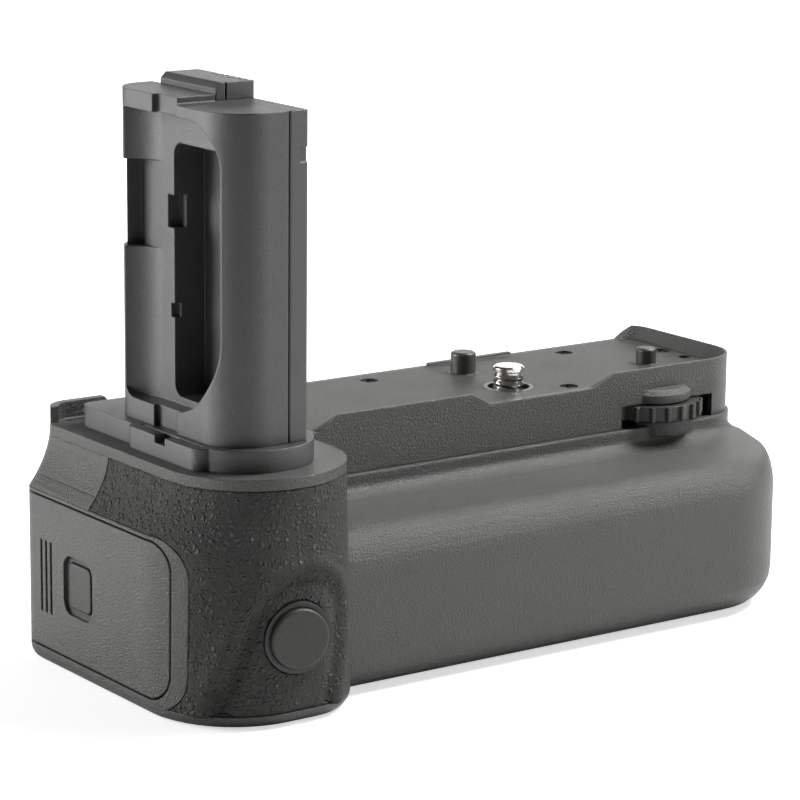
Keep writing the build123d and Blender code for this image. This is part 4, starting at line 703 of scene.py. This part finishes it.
class GRIP_OT_buttons(bpy.types.Operator):
    """Gives the shutter button and the release button their smooth finish"""

    bl_idname = "grip.buttons"
    bl_label = "Buttons"

    def execute(self, context):
        button = moulded("Button moulding", context.scene.grip_colours.button)
        finish_nodes(button, "shutter_ring", "shutter_button", "release_button")
        return {"FINISHED"}


class GRIP_OT_wheel(bpy.types.Operator):
    """Gives the thumbwheel and the pins their dark finish"""

    bl_idname = "grip.wheel"
    bl_label = "Wheel and pins"

    def execute(self, context):
        colours = context.scene.grip_colours
        finish_nodes(
            moulded("Black moulding", colours.black),
            "thumbwheel", "long_pin", "short_pin", "bay_contacts", "latch_bolt", "shutter_switch",
            "board_chips", "idler_gear",
        )
        finish_nodes(moulded("Tray moulding", colours.black), "tray_frame")
        blackened = [part * BLACKENED_SHARE for part in colours.black]
        finish_nodes(
            moulded("Blackened steel", blackened),
            "cap_screws", "chassis_screws", "plate_screws", "casing_screws", "tower_screws",
            "platform_screws",
        )
        return {"FINISHED"}


class GRIP_OT_metal(bpy.types.Operator):
    """Gives the metal pieces and the boards inside their finish"""

    bl_idname = "grip.metal"
    bl_label = "Metal and boards"

    def execute(self, context):
        colours = context.scene.grip_colours
        finish_nodes(
            moulded("Sheet steel", colours.nickel),
            "screw_gear", "wheel_axle", "idler_axle", "latch_spring", "chassis_plate", "battery_bay",
            "wheel_pinion",
        )
        finish_nodes(moulded("Dark bush", colours.collar), "screw_collar", "tripod_socket")
        finish_nodes(moulded("Board resist", colours.board), "shutter_board", "main_board", "tower_board")
        finish_nodes(moulded("Lead film", colours.film), "ribbon_lead")
        return {"FINISHED"}


def lathe(name, profile, steps=64):
    """Closed turned shape from (radius, height) points, bottom to top."""
    shape = bmesh.new()
    rings = []
    for radius, height in profile:
        ring = []
        for step in range(steps):
            angle = 2 * math.pi * step / steps
            ring.append(shape.verts.new((radius * math.cos(angle), radius * math.sin(angle), height)))
        rings.append(ring)
    for low, high in zip(rings, rings[1:]):
        for step in range(steps):
            after = (step + 1) % steps
            shape.faces.new((low[step], low[after], high[after], high[step]))
    shape.faces.new(list(reversed(rings[0])))
    shape.faces.new(rings[-1])
    mesh = bpy.data.meshes.new(name)
    shape.to_mesh(mesh)
    shape.free()
    return link(bpy.data.objects.new(name, mesh))


def thread_tree(material):
    """Geometry tree: a ridge that follows a rising spiral."""
    tree = bpy.data.node_groups.new("Thread ridge", "GeometryNodeTree")
    socket(tree, "Geometry", "NodeSocketGeometry")
    names = (("Radius", 0.003), ("Turns", 3.0), ("Height", 0.0038), ("Ridge", 0.0005))
    for name, default in names:
        socket(tree, name, "NodeSocketFloat", default)
    socket(tree, "Geometry", "NodeSocketGeometry", outwards=True)
    into = tree.nodes.new("NodeGroupInput")
    out = tree.nodes.new("NodeGroupOutput")
    spiral = node(tree, "GeometryNodeCurveSpiral")
    spiral.inputs["Resolution"].default_value = 48
    tree.links.new(into.outputs["Turns"], spiral.inputs["Rotations"])
    tree.links.new(into.outputs["Radius"], spiral.inputs["Start Radius"])
    tree.links.new(into.outputs["Radius"], spiral.inputs["End Radius"])
    tree.links.new(into.outputs["Height"], spiral.inputs["Height"])
    upright = node(tree, "GeometryNodeSetCurveNormal", mode="Z_UP")
    tree.links.new(spiral.outputs["Curve"], upright.inputs["Curve"])
    ridge = node(tree, "GeometryNodeCurvePrimitiveQuadrilateral", mode="KITE")
    half = maths_geometry(tree, "MULTIPLY", into.outputs["Ridge"], 1.0)
    wide = maths_geometry(tree, "MULTIPLY", into.outputs["Ridge"], 1.3)
    tree.links.new(wide, ridge.inputs["Width"])
    tree.links.new(half, ridge.inputs["Bottom Height"])
    tree.links.new(half, ridge.inputs["Top Height"])
    sweep = node(tree, "GeometryNodeCurveToMesh")
    sweep.inputs["Fill Caps"].default_value = True
    tree.links.new(upright.outputs["Curve"], sweep.inputs["Curve"])
    tree.links.new(ridge.outputs["Curve"], sweep.inputs["Profile Curve"])
    real = node(tree, "GeometryNodeRealizeInstances")
    tree.links.new(sweep.outputs["Mesh"], real.inputs["Geometry"])
    coat = node(tree, "GeometryNodeSetMaterial")
    coat.inputs["Material"].default_value = material
    tree.links.new(real.outputs["Geometry"], coat.inputs["Geometry"])
    tree.links.new(coat.outputs["Geometry"], out.inputs["Geometry"])
    return tree


def maths_geometry(tree, operation, first, second):
    """Math node in a geometry tree."""
    made = node(tree, "ShaderNodeMath", operation=operation)
    tree.links.new(first, made.inputs[0])
    made.inputs[1].default_value = second
    return made.outputs[0]


def grown(tree, values, name):
    """Mesh object that a geometry tree makes from its named sizes."""
    obj = link(bpy.data.objects.new(name, bpy.data.meshes.new(name)))
    modifier = obj.modifiers.new("made", "NODES")
    modifier.node_group = tree
    keys = {item.name: item.identifier for item in tree.interface.items_tree if item.in_out == "INPUT"}
    for key, value in values.items():
        modifier[keys[key]] = value
    return applied(obj, name)


def move_mesh(obj, place):
    """Moves a mesh within its object, which stays at the origin."""
    obj.data.transform(Matrix.Translation(place))


# Camera screw: height over the deck, and the radii and drops below the deck of its steps
SCREW_HEIGHT = 0.0040
SCREW_NECK = 0.0023
SEAT_BOTTOM, SEAT_TOP, FLANGE_TOP, NECK_TOP = 0.0078, 0.00612, 0.00512, 0.0011
SCREW_STEPS = (
    (0.0032, SEAT_BOTTOM, SEAT_TOP),
    (0.0042, SEAT_TOP, FLANGE_TOP),
    (SCREW_NECK, FLANGE_TOP, NECK_TOP),
)
ROOT_DROP = 0.0008

# Disc on top of the screw: its reach past the thread's root, and its drops below the top
DISC_REACH = 0.0004
DISC_FOOT, DISC_BOTTOM, DISC_CHAMFER = 0.0011, 0.0009, 0.0003


class GRIP_OT_screw(bpy.types.Operator):
    """Makes the camera screw with its thread"""

    bl_idname = "grip.screw"
    bl_label = "Camera screw"

    def execute(self, context):
        scene = context.scene
        thread = scene.grip_thread
        nickel = moulded("Bright nickel", scene.grip_colours.nickel)
        low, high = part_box("camera_screw")
        top, deck = high[2], high[2] - SCREW_HEIGHT
        middle = Vector(((low[0] + high[0]) / 2, (low[1] + high[1]) / 2, 0))
        root = thread.radius - thread.depth
        profile = [(SCREW_NECK, low[2]), (SCREW_NECK, deck - SEAT_BOTTOM)]
        for radius, bottom, upper in SCREW_STEPS:
            profile += [(radius, deck - bottom), (radius, deck - upper)]
        disc = root + DISC_REACH
        profile += [(root, deck - ROOT_DROP), (root, top - DISC_FOOT)]
        profile += [(disc, top - DISC_BOTTOM), (disc, top - DISC_CHAMFER), (root, top)]
        core = lathe("screw_core", profile)
        move_mesh(core, middle)
        core.data.materials.append(nickel)
        smooth(core, 30)
        height = thread.pitch * thread.turns
        ridge = grown(
            thread_tree(nickel),
            {"Radius": root, "Turns": float(thread.turns), "Height": height, "Ridge": thread.depth},
            "screw_thread",
        )
        move_mesh(ridge, middle + Vector((0, 0, deck + thread.start)))
        smooth(ridge, 30)
        for piece in (core, ridge):
            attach(piece, "screw")
            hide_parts("camera_screw")
        return {"FINISHED"}


class GRIP_PT_panel(bpy.types.Panel):
    """Lists the grip's pieces in the sidebar"""

    bl_idname = "GRIP_PT_panel"
    bl_label = "Battery Grip"
    bl_space_type = "VIEW_3D"
    bl_region_type = "UI"
    bl_category = "Grip"

    def draw(self, context):
        column = self.layout.column()
        for operator in OPERATORS:
            column.operator(operator.bl_idname)


GROUPS = {
    "grip_view": GripView,
    "grip_lights": GripLights,
    "grip_colours": GripColours,
    "grip_grain": GripGrain,
    "grip_thread": GripThread,
}
OPERATORS = (
    GRIP_OT_stage,
    GRIP_OT_housing,
    GRIP_OT_tower,
    GRIP_OT_skin,
    GRIP_OT_buttons,
    GRIP_OT_wheel,
    GRIP_OT_metal,
    GRIP_OT_screw,
)


def register():
    """Registers the property groups, the operators and the panel."""
    for name, group in GROUPS.items():
        bpy.utils.register_class(group)
        setattr(bpy.types.Scene, name, PointerProperty(type=group))
    for operator in OPERATORS:
        bpy.utils.register_class(operator)
    bpy.utils.register_class(GRIP_PT_panel)


def unregister():
    """Takes the panel, the operators and the property groups away."""
    bpy.utils.unregister_class(GRIP_PT_panel)
    for operator in reversed(OPERATORS):
        bpy.utils.unregister_class(operator)
    for name, group in GROUPS.items():
        delattr(bpy.types.Scene, name)
        bpy.utils.unregister_class(group)


def main():
    """Makes every piece in order."""
    register()
    bpy.ops.grip.stage()
    bpy.ops.grip.housing()
    bpy.ops.grip.tower()
    bpy.ops.grip.skin()
    bpy.ops.grip.buttons()
    bpy.ops.grip.wheel()
    bpy.ops.grip.metal()
    bpy.ops.grip.screw()


if __name__ == "__main__":
    main()
